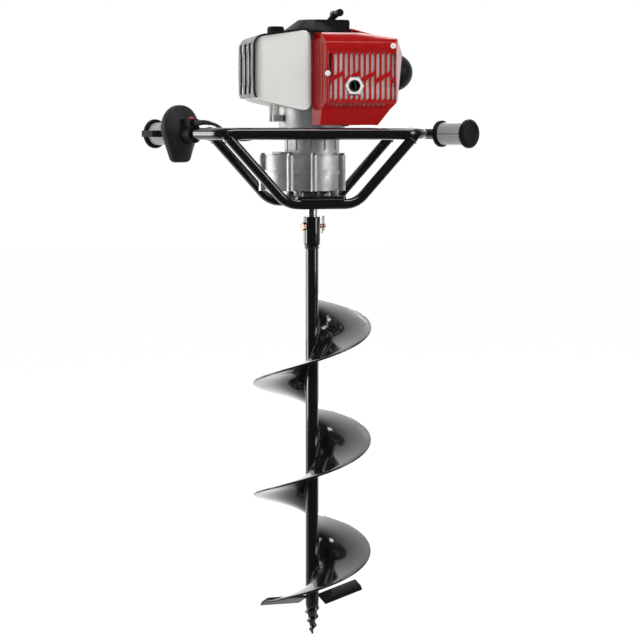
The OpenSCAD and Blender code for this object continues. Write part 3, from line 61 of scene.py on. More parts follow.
def look_at(obj, target):
    """Turn a camera or a lamp towards a point."""
    obj.rotation_euler = (Vector(target) - obj.location).to_track_quat("-Z", "Y").to_euler()


def camera():
    data = bpy.data.cameras.new("camera")
    data.lens = 104.9
    data.sensor_width = 36.0
    cam = bpy.data.objects.new("camera", data)
    scene.collection.objects.link(cam)
    right, ahead = math.cos(CAM_AZIMUTH), math.sin(CAM_AZIMUTH)
    cam.location = (CAM_DISTANCE * ahead, -CAM_DISTANCE * right, CAM_HEIGHT)
    look_at(cam, (AIM_RIGHT * right, AIM_RIGHT * ahead, AIM_HEIGHT))
    scene.camera = cam


camera()


# Node helpers
class Tree:
    """Short names for making and joining the nodes of one tree."""

    def __init__(self, tree):
        self.tree = tree
        tree.nodes.clear()

    def add(self, kind, **props):
        node = self.tree.nodes.new(kind)
        for key, value in props.items():
            setattr(node, key, value)
        return node

    def link(self, a, b):
        self.tree.links.new(a, b)

    def put(self, socket, value):
        if isinstance(value, bpy.types.NodeSocket):
            self.link(value, socket)
        else:
            socket.default_value = value

    def calc(self, operation, a, b):
        node = self.add("ShaderNodeMath", operation=operation)
        self.put(node.inputs[0], a)
        self.put(node.inputs[1], b)
        return node.outputs[0]

    def times(self, a, b):
        return self.calc("MULTIPLY", a, b)

    def spread(self, value, a, b, c, d, **props):
        """The value's range a to b, mapped to c to d."""
        node = self.add("ShaderNodeMapRange", **props)
        self.link(value, node.inputs["Value"])
        for key, number in (("From Min", a), ("From Max", b), ("To Min", c), ("To Max", d)):
            node.inputs[key].default_value = number
        return node.outputs[0]

    def y_of(self, coords):
        node = self.add("ShaderNodeSeparateXYZ")
        self.link(coords, node.inputs[0])
        return node.outputs["Y"]

    def glow(self, kind, strength):
        """White emission or background."""
        node = self.add(kind)
        node.inputs["Color"].default_value = rgb(1, 1, 1)
        self.put(node.inputs["Strength"], strength)
        return node.outputs[0]

    def mix_shader(self, factor, a, b):
        node = self.add("ShaderNodeMixShader")
        for socket, value in zip(node.inputs, (factor, a, b)):
            self.link(value, socket)
        return node.outputs[0]

    def rays(self):
        """Two factors: seen straight or through glass, and seen in a gloss."""
        path = self.add("ShaderNodeLightPath").outputs
        return self.calc("MAXIMUM", path["Is Camera Ray"], path["Is Transmission Ray"]), path["Is Glossy Ray"]


class Net(Tree):
    """One material: a Principled shader, with procedural inputs in the object's coordinates."""

    def __init__(self, name):
        self.mat = bpy.data.materials.new(name)
        self.mat.use_nodes = True
        super().__init__(self.mat.node_tree)
        self.out = self.add("ShaderNodeOutputMaterial")
        self.bsdf = self.add("ShaderNodeBsdfPrincipled")
        self.link(self.bsdf.outputs[0], self.out.inputs["Surface"])
        self.coords = self.add("ShaderNodeTexCoord").outputs["Object"]

    def set(self, **values):
        for key, value in values.items():
            self.put(self.bsdf.inputs[key.replace("_", " ")], value)

    def noise(self, scale, detail=3.0, rough=0.55, stretch=None):
        vector = self.coords
        if stretch:
            mapping = self.add("ShaderNodeMapping")
            mapping.inputs["Scale"].default_value = stretch
            self.link(self.coords, mapping.inputs["Vector"])
            vector = mapping.outputs[0]
        node = self.add("ShaderNodeTexNoise")
        self.link(vector, node.inputs["Vector"])
        for key, number in (("Scale", scale), ("Detail", detail), ("Roughness", rough)):
            node.inputs[key].default_value = number
        return node.outputs["Fac"]

    def mix(self, factor, a, b):
        node = self.add("ShaderNodeMix", data_type="RGBA")
        self.put(node.inputs[0], factor)
        self.put(node.inputs[6], a)
        self.put(node.inputs[7], b)
        return node.outputs[2]

    def edge(self, radius):
        """1 on outer and inner edges, 0 on open faces."""
        rounded = self.add("ShaderNodeBevel", samples=5)
        rounded.inputs["Radius"].default_value = radius
        geometry = self.add("ShaderNodeNewGeometry")
        dot = self.add("ShaderNodeVectorMath", operation="DOT_PRODUCT")
        self.link(rounded.outputs[0], dot.inputs[0])
        self.link(geometry.outputs["Normal"], dot.inputs[1])
        return self.spread(dot.outputs["Value"], 0.985, 0.8, 0.0, 1.0)

    def crevice_shade(self, reach):
        """Painted shade mask: 1 in corners and recesses, where shade falls, 0 in the open."""
        node = self.add("ShaderNodeAmbientOcclusion", samples=6)
        node.inputs["Distance"].default_value = reach
        return self.spread(node.outputs["AO"], 0.75, 0.25, 0.0, 1.0)

    def bump(self, height, strength, distance, normal=None):
        node = self.add("ShaderNodeBump")
        node.inputs["Strength"].default_value = strength
        node.inputs["Distance"].default_value = distance
        self.link(height, node.inputs["Height"])
        if normal is not None:
            self.link(normal, node.inputs["Normal"])
        return node.outputs[0]


def rgb(r, g, b):
    return (r, g, b, 1.0)


# Materials
def gloss_paint(name, dark, light, rough, wear, wear_color, wave):
    """Black enamel over steel: orange peel, scuffs and worn edges."""
    n = Net(name)
    tone = n.mix(n.noise(9, 3), dark, light)
    worn = n.times(n.edge(0.0016), n.spread(n.noise(70, 5, 0.7), 0.42, 0.66, 0.0, wear))
    scuff = n.noise(26, 6, 0.68)
    n.set(Base_Color=n.mix(worn, tone, wear_color), Roughness=n.spread(scuff, 0.35, 0.75, *rough),
          Specular_IOR_Level=0.5, Coat_Weight=0.9, Coat_Roughness=0.035)
    soft = n.bump(n.noise(14, 2), wave, 0.004)
    n.set(Normal=n.bump(n.noise(520, 2), 0.03, 0.0003, soft))
    return n.mat


def cast_metal(name, dark, light, rough, grain):
    """Die-cast alloy: grainy, with painted shade that darkens the corners and a painted highlight that brightens the
    edges.
    """
    n = Net(name)
    tone = n.mix(n.spread(n.noise(38, 5, 0.65), 0.3, 0.72, 0.0, 1.0), dark, light)
    # Painted shade: darker in corners and recesses, where shade falls.
    corner_shade = n.times(n.crevice_shade(0.012), 0.55)
    # Painted highlight: paler on the edges, where light catches them.
    edge_highlight = n.times(n.edge(0.0012), 0.4)
    color = n.mix(edge_highlight, n.mix(corner_shade, tone, rgb(0.09, 0.088, 0.085)), rgb(0.8, 0.8, 0.81))
    n.set(Base_Color=color, Metallic=0.85, Roughness=n.spread(n.noise(60, 4), 0.3, 0.7, *rough))
    coarse = n.bump(n.noise(150, 4, 0.6), grain, 0.0016)
    n.set(Normal=n.bump(n.noise(900, 2), grain, 0.0004, coarse))
    return n.mat


def turned_steel(name, tone, rough, stretch=(1, 1, 14)):
    """Machined or plated metal with fine lines round the axis, and painted shade in its crevices."""
    n = Net(name)
    lines = n.noise(260, 3, 0.6, stretch)
    shade = [0.62 * t for t in tone]
    color = n.mix(n.spread(n.noise(45, 4), 0.35, 0.7, 0.0, 0.6), rgb(*tone), rgb(*shade))
    # Painted shade: darker in crevices and recesses.
    n.set(Base_Color=n.mix(n.times(n.crevice_shade(0.006), 0.5), color, rgb(0.08, 0.075, 0.07)), Metallic=1.0,
          Roughness=n.spread(lines, 0.3, 0.7, *rough))
    n.set(Normal=n.bump(lines, 0.12, 0.0004))
    return n.mat


def moulding(name, dark, light, rough, grain, grain_scale=1300, coat=0.0, edge_color=None, sheen=0.5):
    """Injection-moulded plastic: fine grain, handling sheen and paler edges."""
    n = Net(name)
    color = n.mix(n.noise(16, 3), dark, light)
    if edge_color:
        rubbed = n.times(n.edge(0.001), n.spread(n.noise(90, 4), 0.35, 0.7, 0.1, 0.7))
        color = n.mix(rubbed, color, edge_color)
    n.set(Base_Color=color, Roughness=n.spread(n.noise(34, 4, 0.6), 0.3, 0.7, *rough),
          Coat_Weight=coat, Coat_Roughness=0.09, Specular_IOR_Level=sheen)
    n.set(Normal=n.bump(n.noise(grain_scale, 2), grain, 0.0005, n.bump(n.noise(22, 2), 0.05, 0.003)))
    return n.mat


def tank_plastic():
    n = Net("tank_white")
    color = n.mix(n.spread(n.noise(7, 3), 0.3, 0.75, 0.0, 1.0), rgb(0.61, 0.60, 0.57), rgb(0.67, 0.665, 0.64))
    n.set(Base_Color=color, Roughness=n.spread(n.noise(40, 3), 0.3, 0.7, 0.3, 0.44), Subsurface_Weight=0.25,
          Subsurface_Radius=(0.012, 0.011, 0.009), Subsurface_Scale=1.0, Specular_IOR_Level=0.45)
    n.set(Normal=n.bump(n.noise(380, 2), 0.05, 0.0006, n.bump(n.noise(18, 2), 0.12, 0.003)))
    return n.mat


def heated_sheet():
    """Bright sheet of the muffler, with painted shade: black in the bore of its outlet and darker in its crevices."""
    outlet_x, outlet_z = 0.058, 1.04115
    unshaded_from, bore_shade_within = 0.0112, 0.0102
    n = Net("muffler_sheet")
    heat = n.spread(n.noise(14, 4, 0.6), 0.35, 0.7, 0.0, 1.0)
    color = n.mix(heat, rgb(0.92, 0.92, 0.92), rgb(0.85, 0.83, 0.8))
    from_axis = n.add("ShaderNodeVectorMath", operation="MULTIPLY_ADD")
    n.link(n.coords, from_axis.inputs[0])
    from_axis.inputs[1].default_value = (1, 0, 1)
    from_axis.inputs[2].default_value = (-outlet_x, 0, -outlet_z)
    reach = n.add("ShaderNodeVectorMath", operation="LENGTH")
    n.link(from_axis.outputs[0], reach.inputs[0])
    # Painted shade: the bore of the outlet is black, matte and not metallic, standing for the shade inside the hole.
    bore_shade = n.spread(reach.outputs["Value"], unshaded_from, bore_shade_within, 0.0, 1.0)
    # Painted shade: darker in crevices and recesses.
    shaded_sheet = n.mix(n.times(n.crevice_shade(0.006), 0.35), color, rgb(0.12, 0.11, 0.1))
    n.set(Base_Color=n.mix(bore_shade, shaded_sheet, rgb(0.004, 0.004, 0.004)), Metallic=n.spread(bore_shade, 0.0, 1.0, 0.2, 0.0),
          Roughness=n.spread(n.noise(90, 4), 0.3, 0.7, 0.34, 0.5))
    n.set(Normal=n.bump(n.noise(120, 3), 0.12, 0.0012))
    return n.mat


def braided_rope():
    n = Net("rope_braid")
    wave = n.add("ShaderNodeTexWave", bands_direction="DIAGONAL")
    n.link(n.coords, wave.inputs["Vector"])
    wave.inputs["Scale"].default_value = 260
    wave.inputs["Distortion"].default_value = 1.5
    braid = wave.outputs["Fac"]
    n.set(Base_Color=n.mix(braid, rgb(0.5, 0.5, 0.47), rgb(0.8, 0.8, 0.77)), Roughness=0.85)
    n.set(Normal=n.bump(braid, 0.5, 0.0008))
    return n.mat


def primer_skin():
    n = Net("primer_bulb")
    n.set(Base_Color=n.mix(n.noise(60, 3), rgb(0.7, 0.66, 0.5), rgb(0.78, 0.75, 0.62)), Roughness=0.3,
          Transmission_Weight=0.35, IOR=1.45)
    n.set(Normal=n.bump(n.noise(300, 2), 0.08, 0.0005))
    return n.mat


def plug_ceramic():
    n = Net("plug_ceramic")
    n.set(Base_Color=n.mix(n.noise(80, 3), rgb(0.75, 0.74, 0.71), rgb(0.85, 0.84, 0.82)), Roughness=0.2)
    n.set(Normal=n.bump(n.noise(250, 2), 0.04, 0.0005))
    return n.mat


M = {
    "frame": gloss_paint("frame_black", rgb(0.003, 0.003, 0.0035), rgb(0.007, 0.007, 0.0075), (0.09, 0.2), 0.5,
                         rgb(0.12, 0.12, 0.125), 0.03),
    "bit": gloss_paint("bit_black", rgb(0.003, 0.003, 0.003), rgb(0.007, 0.007, 0.0075), (0.1, 0.26), 0.8,
                       rgb(0.2, 0.2, 0.205), 0.04),
    "cast": cast_metal("cast_alloy", rgb(0.53, 0.535, 0.54), rgb(0.75, 0.755, 0.76), (0.36, 0.56), 0.3),
    "cast_dark": cast_metal("cast_fins", rgb(0.38, 0.385, 0.39), rgb(0.56, 0.565, 0.57), (0.42, 0.62), 0.35),
    "steel": turned_steel("zinc_steel", (0.66, 0.66, 0.65), (0.2, 0.42)),
    "shaft": turned_steel("ground_shaft", (0.6, 0.59, 0.58), (0.16, 0.34), (1, 1, 30)),
    "iron": turned_steel("dark_iron", (0.2, 0.19, 0.185), (0.4, 0.6)),
    "copper": turned_steel("plated_pin", (0.6, 0.39, 0.31), (0.32, 0.48)),
    "black": moulding("black_moulding", rgb(0.004, 0.004, 0.005), rgb(0.01, 0.01, 0.011), (0.34, 0.5), 0.12,
                      edge_color=rgb(0.05, 0.05, 0.052), sheen=0.12),
    "guard": moulding("guard_moulding", rgb(0.009, 0.009, 0.0105), rgb(0.016, 0.016, 0.018), (0.38, 0.52), 0.1,
                      1500, sheen=0.22),
    "rib": moulding("rib_moulding", rgb(0.006, 0.006, 0.007), rgb(0.012, 0.012, 0.013), (0.2, 0.3), 0.02, 1100),
    "starter": moulding("starter_moulding", rgb(0.005, 0.005, 0.0055), rgb(0.01, 0.01, 0.011), (0.32, 0.46), 0.08,
                        edge_color=rgb(0.05, 0.05, 0.05), sheen=0.12),
    "black_soft": moulding("black_rubber", rgb(0.009, 0.009, 0.009), rgb(0.019, 0.019, 0.02), (0.5, 0.7), 0.12,
                           700),
    "red": moulding("red_gloss", rgb(0.29, 0.003, 0.0025), rgb(0.36, 0.004, 0.0035), (0.12, 0.22), 0.02, 900,
                    coat=0.9, edge_color=rgb(0.55, 0.06, 0.06)),
    "pale": moulding("pale_moulding", rgb(0.66, 0.65, 0.6), rgb(0.78, 0.77, 0.72), (0.4, 0.55), 0.1),
    "grip": moulding("grip_grey", rgb(0.25, 0.253, 0.258), rgb(0.37, 0.373, 0.38), (0.24, 0.4), 0.14, 900,
                     edge_color=rgb(0.4, 0.4, 0.4)),
    "tank": tank_plastic(),
    "muffler": heated_sheet(),
    "rope": braided_rope(),
    "primer": primer_skin(),
    "ceramic": plug_ceramic(),
}

# Material of each CAD node, and the radius in millimetres that its edges are eased by
LOOKS = {
    "frame": [("handlebar_front handlebar_rear cradle_bar_front cradle_bar_rear", 0.4), ("cradle_plate", 0.9)],
    "bit": [("bit_socket bit_tube bit_flight", 0.5), ("bit_blades", 0.7), ("pilot_point", 0)],
    "grip": [("grip_sleeves", 0.7)],
    "black": [("grip_caps right_grip_collar throttle_trigger air_filter_base", 1.0), ("plug_cover", 3.0),
              ("throttle_shell_front throttle_shell_rear air_filter_cover", 1.2), ("starter_handle", 0.8),
              ("fuel_cap ignition_coil", 0.6)],
    "rib": [("tank_guard", 1.2)],
    "starter": [("starter_housing", 1.6)],
    "black_soft": [("throttle_cable", 0), ("oil_seal", 0.4)],
    "red": [("engine_cover", 2.0), ("top_shroud", 2.5), ("stop_switch", 0.5)],
    "cast": [("gearbox_lower gearbox_upper clutch_housing fan_housing crankcase", 0.9), ("flywheel", 0.5),
             ("carburettor", 0.6)],
    "cast_dark": [("cylinder_block", 0.7)],
    "steel": [("plate_bolts case_bolts cover_screws", 0.4), ("ball_bearings output_bearings crankshaft", 0.3),
              ("output_gear lay_shaft lay_gear input_pinion", 0.15), ("throttle_arm", 0.2), ("pin_clip", 0)],
    "shaft": [("output_shaft", 0.4)],
    "iron": [("clutch_drum clutch_shoes", 0.4)],
    "muffler": [("muffler", 1.2)],
    "pale": [("choke_lever", 0.5), ("starter_pulley", 0.3)],
    "primer": [("primer_bulb", 0)],
    "rope": [("starter_rope", 0)],
    "tank": [("fuel_tank", 8.0)],
    "copper": [("coupling_pin", 0.4)],
    "ceramic": [("spark_plug", 0.3)],
}

# Pieces are drawn in millimetres, in the frame of the CAD model
MM = 0.001
WIDE_EASE = 4.0


def dress(name, material, ease):
    """Material and eased edges on a CAD node; its mesh stays as packed."""
    obj = nodes[name]
    obj.data.materials.clear()
    obj.data.materials.append(material)
    obj.data.shade_smooth()
    if "custom_normal" in obj.data.attributes:
        obj.data.attributes.remove(obj.data.attributes["custom_normal"])
    weld = obj.modifiers.new("weld", "WELD")
    weld.merge_threshold = 0.00002
    if ease:
        flat = obj.modifiers.new("flat", "DECIMATE")
        flat.decimate_type = "DISSOLVE"
        flat.angle_limit = math.radians(0.6)
        bevel = obj.modifiers.new("ease", "BEVEL")
        bevel.width = ease / 1000
        bevel.segments = 2 if ease < WIDE_EASE else 5
        bevel.limit_method = "ANGLE"
        bevel.angle_limit = math.radians(38)
        bevel.harden_normals = False
    normal = obj.modifiers.new("normals", "WEIGHTED_NORMAL")
    normal.keep_sharp = True
    normal.weight = 60


for key, groups in LOOKS.items():
    for names, ease in groups:
        for name in names.split():
            dress(name, M[key], ease)


# Mesh helpers
class Solid:
    """Collects closed skins of one piece."""

    def __init__(self):
        self.verts, self.faces = [], []

    def add(self, rings, loop=False):
        """Skin between rings of equal length, capped at both ends or closed to a loop."""
        n, m, base = len(rings[0]), len(rings), len(self.verts)
        self.verts += [point for ring in rings for point in ring]
        for i in range(m if loop else m - 1):
            here, there = base + i * n, base + (i + 1) % m * n
            for k in range(n):
                e = (k + 1) % n
                self.faces.append((here + k, here + e, there + e, there + k))
        if not loop:
            self.faces.append(tuple(base + k for k in reversed(range(n))))
            self.faces.append(tuple(base + (m - 1) * n + k for k in range(n)))
        return self

    def make(self, name, material, slot, sharp=40):
        """The piece's object; edges over sharp degrees stay sharp."""
        mesh = bpy.data.meshes.new(name)
        mesh.from_pydata([tuple(MM * c for c in v) for v in self.verts], [], self.faces)
        bm = bmesh.new()
        bm.from_mesh(mesh)
        bmesh.ops.recalc_face_normals(bm, faces=bm.faces)
        bm.to_mesh(mesh)
        bm.free()
        mesh.shade_smooth()
        mesh.set_sharp_from_angle(angle=math.radians(sharp))
        mesh.materials.append(material)
        obj = bpy.data.objects.new(name, mesh)
        scene.collection.objects.link(obj)
        return obj


def circle(count):
    """Angles round a full turn."""
    return [2 * math.pi * k / count for k in range(count)]


def sweep(path, radii, sides, centre=None):
    """Round rings along path; with a centre the path is a loop round it."""
    n = len(path)
    rings = []
    u = None
    for i, p in enumerate(path):
        if centre is None:
            t = (path[min(i + 1, n - 1)] - path[max(i - 1, 0)]).normalized()
            ref = u if u else (Vector((0, 0, 1)) if abs(t.z) < 0.9 else Vector((0, 1, 0)))
        else:
            t = (path[(i + 1) % n] - path[i - 1]).normalized()
            ref = p - centre
        u = (ref - t * ref.dot(t)).normalized()
        v = t.cross(u)
        rings.append([p + radii[i] * (math.cos(a) * u + math.sin(a) * v) for a in circle(sides)])
    return rings


def spaced(path, step, loop=False):
    """The same line with points at equal steps."""
    points = list(path) + ([path[0]] if loop else [])
    lengths = [0.0]
    for a, b in zip(points, points[1:]):
        lengths.append(lengths[-1] + (b - a).length)
    count = max(3, round(lengths[-1] / step))
    out = []
    k = 0
    for i in range(count if loop else count + 1):
        want = lengths[-1] * i / count
        while k < len(points) - 2 and lengths[k + 1] < want:
            k += 1
        share = (want - lengths[k]) / max(1e-9, lengths[k + 1] - lengths[k])
        out.append(points[k].lerp(points[k + 1], min(1.0, share)))
    return out


def bead(solid, path, r, centre=None):
    """Weld bead along a line, with the ripples of the pool."""
    ripple = 2.6
    step = ripple / 4
    line = spaced(path, step, centre is not None)
    radii = [r * (0.86 + 0.2 * abs(math.sin(math.pi * i * step / ripple)) + 0.05 * math.sin(0.37 * i))
             for i in range(len(line))]
    solid.add(sweep(line, radii, 8, centre), centre is not None)


def bead_loop(solid, loop, r):
    """Weld bead round a closed line."""
    bead(solid, loop, r, sum(loop, Vector()) / len(loop))


def arc_corner(p0, p1, p2, r, count=8):
    """Points of a bend of radius r at the corner p1."""
    a, b = (p0 - p1).normalized(), (p2 - p1).normalized()
    half = a.angle(b) / 2
    middle = p1 + (a + b).normalized() * r / math.sin(half)
    start = p1 + a * r / math.tan(half) - middle
    end = p1 + b * r / math.tan(half) - middle
    return [middle + start.slerp(end, i / count) for i in range(count + 1)]


def to_line(p, line):
    """Distance of a point from a polyline."""
    best = math.inf
    for a, b in zip(line, line[1:]):
        d = b - a
        t = min(1.0, max(0.0, (p - a).dot(d) / d.length_squared))
        best = min(best, (p - a - d * t).length)
    return best


def smooth_line(points, parts):
    """Curve through the points (Catmull-Rom)."""
    out = []
    for i in range(len(points) - 1):
        p0, p1, p2, p3 = (points[min(max(j, 0), len(points) - 1)] for j in (i - 1, i, i + 1, i + 2))
        for k in range(parts):
            t = k / parts
            out.append(0.5 * (2 * p1 + (p2 - p0) * t + (2 * p0 - 5 * p1 + 4 * p2 - p3) * t * t
                              + (3 * p1 - 3 * p2 + p3 - p0) * t ** 3))
    return out + [points[-1]]


# Digging bit: smooth helical flight with a rolled edge, and the weld beads that hold it
TUBE_R, FLIGHT_R, FLIGHT_T = 12.65, 112.0, 4.0
FOOT, PITCH, TURNS, START = 80.0, 214.0, 2.65, math.radians(211)
SOCKET_WELD_R, SOCKET_WELD_Z = 12.9, 741.6


def helix(t, r, lift):
    a = START + 2 * math.pi * t
    return Vector((r * math.cos(a), r * math.sin(a), FOOT + PITCH * t + lift))


def flight():
    steps, weld_steps = 220, 400
    radii = [TUBE_R + (FLIGHT_R - 1.4 - TUBE_R) * i / 9 for i in range(10)]
    edge = [(FLIGHT_R - 0.4, 0.35), (FLIGHT_R, 1.3), (FLIGHT_R, 2.7), (FLIGHT_R - 0.4, 3.65)]
    section = [(r, 0.0) for r in radii] + edge + [(r, FLIGHT_T) for r in reversed(radii)]
    rings = [[helix(TURNS * i / steps, r, lift) for r, lift in section] for i in range(steps + 1)]
    plate = Solid().add(rings).make("flight_plate", M["bit"], "bit_paint", 50)
    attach(plate, "bit")
    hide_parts("bit_flight")
    welds = Solid()
    for lift in (-0.7, FLIGHT_T + 0.7):
        shares = [0.004 + 0.992 * i / weld_steps for i in range(weld_steps + 1)]
        bead(welds, [helix(TURNS * share, TUBE_R + 0.5, lift) for share in shares], 2.1)
    ring = [Vector((SOCKET_WELD_R * math.cos(a), SOCKET_WELD_R * math.sin(a), SOCKET_WELD_Z)) for a in circle(48)]
    bead(welds, ring, 1.6, Vector((0, 0, SOCKET_WELD_Z)))
    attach(welds.make("bit_welds", M["bit"], "bit_paint"), "bit")


# Frame: weld beads where the cradle and the ring's ends meet the ring, and along the plate
RING_Z, RING_R, CRADLE_R = 954.5, 11.0, 9.5
BAR_Y, BAR_BEND, BAR_TURN_X, BAR_CLOSE_X, BAR_END_Y = 90, 40, -181, 196, 68.6
CRADLE_TOP_X, CRADLE_FOOT_X, CRADLE_DROP, CRADLE_RUN = 178, 64, 128, 55
PLATE_WELD_X, PLATE_WELD_Y, PLATE_WELD_Z = 40, 97.6, 834.4
GRIP_TURN, GRIP_REACH = math.radians(55), 180
GRIP_ORIGIN = Vector((BAR_TURN_X, -BAR_Y, RING_Z))
GRIP_X = Vector((-math.cos(GRIP_TURN), math.sin(GRIP_TURN), 0))
GRIP_Y = Vector((-math.sin(GRIP_TURN), -math.cos(GRIP_TURN), 0))


def bar_line():
    """Centre line of the front handlebar from its grip round to its end."""
    grip = GRIP_ORIGIN + GRIP_REACH * GRIP_X
    close, join = Vector((BAR_CLOSE_X, -BAR_Y, RING_Z)), Vector((BAR_CLOSE_X, BAR_END_Y, RING_Z))
    return ([grip] + arc_corner(grip, GRIP_ORIGIN, close, BAR_BEND) + arc_corner(GRIP_ORIGIN, close, join, BAR_BEND)
            + [join])


def coped(start, direction, r, line, line_r):
    """Loop where a round bar that comes from start meets the round bar along line."""
    search = 70
    d = direction.normalized()
    v = Vector((0, 1, 0)) if abs(d.y) < 0.5 else Vector((0, 0, 1))
    u = v.cross(d).normalized()
    loop = []
    for a in circle(40):
        off = r * (math.cos(a) * u + math.sin(a) * v)
        gaps = [to_line(start + d * s + off, line) for s in range(search)]
        low = next((i for i, gap in enumerate(gaps) if gap <= line_r), gaps.index(min(gaps)))
        if low and gaps[low] < line_r < gaps[low - 1]:
            low -= (line_r - gaps[low]) / (gaps[low - 1] - gaps[low])
        loop.append(start + d * low + off)
    return loop


def frame_welds():
    bead_r, plate_bead_r = 1.9, 2.2
    welds = Solid()
    front = bar_line()
    rear = [Vector((-p.x, -p.y, p.z)) for p in front]
    for line, y in ((front, -BAR_Y), (rear, BAR_Y)):
        for side in (-1, 1):
            top = Vector((side * CRADLE_TOP_X, y, RING_Z))
            foot = Vector((side * CRADLE_FOOT_X, y, RING_Z - CRADLE_DROP))
            d = (top - foot).normalized()
            bead_loop(welds, coped(top - d * CRADLE_RUN, d, CRADLE_R, line, RING_R), bead_r)
    for line, side in ((rear, 1), (front, -1)):
        start = Vector((side * BAR_CLOSE_X, side * 20, RING_Z))
        bead_loop(welds, coped(start, Vector((0, side, 0)), RING_R - 0.1, line, RING_R), bead_r)
    for side in (-1, 1):
        bead(welds, [Vector((x, side * PLATE_WELD_Y, PLATE_WELD_Z)) for x in (-PLATE_WELD_X, 0, PLATE_WELD_X)],
             plate_bead_r)
    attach(welds.make("frame_welds", M["frame"], "frame_paint"), "power_head")


# Throttle cable: the route of its CAD solid on one smooth line, in a ribbed boot; heights are from the ring
CABLE_ROUTE = [
    (-223.7, -29.1, 19.5), (-217, -38, 20), (-209, -44.5, 20.5), (-198.5, -48.5, 19), (-186, -49, 14.5),
    (-171, -43, 4.5), (-155, -30, -4.5), (-138, -12, -10.5), (-122, 8, -10.5), (-106, 28, -8.5), (-90, 46, -5.5),
    (-74, 60, -0.5), (-58, 69, 5.5), (-42, 75, 11.5), (-26, 80, 17.5), (-10, 85, 25.5), (4, 91, 37),
    (14, 96.5, 51), (19.5, 98.5, 66.5), (22.5, 95, 82.5), (26.5, 88, 98), (31.5, 82.7, 111.4),
    (39.8, 78.6, 122.5), (48.2, 76.9, 127.1), (57.8, 76.3, 128.65), (61.8, 76.3, 128.65),
]
CABLE_R = 3.0
BOOT_POINTS, BOOT_R, BOOT_TAPER, BOOT_RIB, BOOT_LIP = 15, 5.3, 1.9, 0.45, 0.5


def throttle_cable():
    line = spaced(smooth_line([Vector(p) + Vector((0, 0, RING_Z)) for p in CABLE_ROUTE], 8), 2.5)
    cable = Solid().add(sweep(line, [CABLE_R] * len(line), 14)).make("throttle_bowden", M["black_soft"], "cable_black")
    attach(cable, "power_head")
    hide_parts("throttle_cable")
    boot_line = spaced(line[:BOOT_POINTS], 0.7)
    last = len(boot_line) - 1
    radii = []
    for i in range(last + 1):
        share = i / last
        rib = BOOT_RIB if (i // 3) % 2 == 0 and 0.12 < share < 0.9 else 0.0
        radii.append(BOOT_R - BOOT_TAPER * share + rib - (BOOT_LIP if i in (0, last) else 0))
    boot = Solid().add(sweep(boot_line, radii, 20)).make("cable_boot", M["black_soft"], "cable_black", 60)
    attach(boot, "power_head")


# Starter rope: hidden in the handle's stub at rest, it shows when the handle is drawn
ROPE_R = 1.7
ROPE_BELOW, ROPE_RUN, ROPE_STEPS = 13, 18, 60


def starter_rope_run():
    out = Vector((math.sqrt(0.5), 0, math.sqrt(0.5)))
    seat = Vector((30, 0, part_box("starter_housing")[1].z / MM - 4))
    line = [seat + out * (-ROPE_BELOW + ROPE_RUN * i / ROPE_STEPS) for i in range(ROPE_STEPS + 1)]
    rope = Solid().add(sweep(line, [ROPE_R] * len(line), 12)).make("rope_run", M["rope"], "rope_white")
    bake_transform(rope)


# Hand guard: smooth skin of the two half shells, with their parting line
BELL_X, BELL_RUN, NECK_R = 97.0, 12.5, 19.9
SWITCH_X, SWITCH_SHARE = 99.2, 0.18
PARTING = 0.35


def in_grip(x, y, z):
    """Point at x along the left grip's axis, from the bar's turn."""
    return GRIP_ORIGIN + GRIP_X * x + GRIP_Y * y + Vector((0, 0, z))


def arc_points(centre, r, degrees):
    """Points of an arc, each with its outward normal."""
    turns = [(math.cos(math.radians(a)), math.sin(math.radians(a))) for a in degrees]
    return [(centre[0] + r * c, centre[1] + r * s, c, s) for c, s in turns]


def guard_outline():
    """Half outline of the guard from its top down to its foot, as points and outward normals."""
    crown = [p for p in arc_points((0.0, 10.0), 42.0, range(90, -21, -3)) if p[1] > 3]
    foot = arc_points((10.66, -40.0), 12.0, range(-20, -91, -5))
    slant = math.radians(-20.4)
    flank = []
    for i in range(1, 8):
        y, z = (a + (b - a) * i / 8 for a, b in zip(crown[-1][:2], foot[0][:2]))
        flank.append((y, z, math.cos(slant), math.sin(slant)))
    return crown + flank + foot + [(5.0, -52.0, 0.0, -1.0), (0.0, -52.0, 0.0, -1.0)]


def guard_skin():
    # Points of the section: place along the grip, share from the neck to the outline, and offset outwards
    cone = [(BELL_X - 0.6, 0.0, -0.2), (BELL_X, 0.0, -0.2)]
    cone += [(BELL_X + BELL_RUN * f, f, -0.2) for f in (0.15, 0.3, 0.45, 0.6, 0.75, 0.88, 0.96)]
    rim = [(109.8, 1.0, -0.1), (110.8, 1.0, 0.2), (112.5, 1.0, 0.45), (115.5, 1.0, 0.75), (118.5, 1.0, 0.8),
           (120.4, 1.0, 0.6), (121.8, 1.0, 0.0), (122.7, 1.0, -0.9), (123.1, 1.0, -1.9)]
    lip = [(123.1, 1.0, -2.6), (122.6, 1.0, -3.1), (120.5, 1.0, -3.3), (120.3, 1.0, -2.2)]
    back = [(x - 0.1, m, off - 0.75) for x, m, off in reversed(cone + rim[:4])]
    back[0] = (118.0, 1.0, -0.9)
    section = cone + rim + lip + back
    for name, side in (("guard_front", 1), ("guard_rear", -1)):
        rings = []
        for y, z, ny, nz in guard_outline():
            ring = []
            for x, m, off in section:
                # Room on top for the stop switch
                if nz > 0.9 and x < SWITCH_X:
                    x, m = SWITCH_X, max(m, SWITCH_SHARE)
                r = NECK_R + off
                py = (1 - m) * r * ny + m * (y + off * ny)
                pz = (1 - m) * r * nz + m * (z + off * nz)
                ring.append(in_grip(x, side * max(py, PARTING), pz))
            rings.append(ring)
        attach(Solid().add(rings).make(name, M["guard"], "black_plastic", 45), "power_head")


# Tank guard: crowned faces on its four ribs
RIB_FACE_X, RIB_BACK_X, RIB_CROWN = -124.55, -123.6, 2.4
RIB_Z, RIB_REACH, RIB_HALF_PITCH, END_RIB_HALF = 1073.15, 38.0, 24, 8.2
RIB_SLOT, RIB_SLOT_BOW, RIB_SLOT_H = 9.6, 8.16, 46


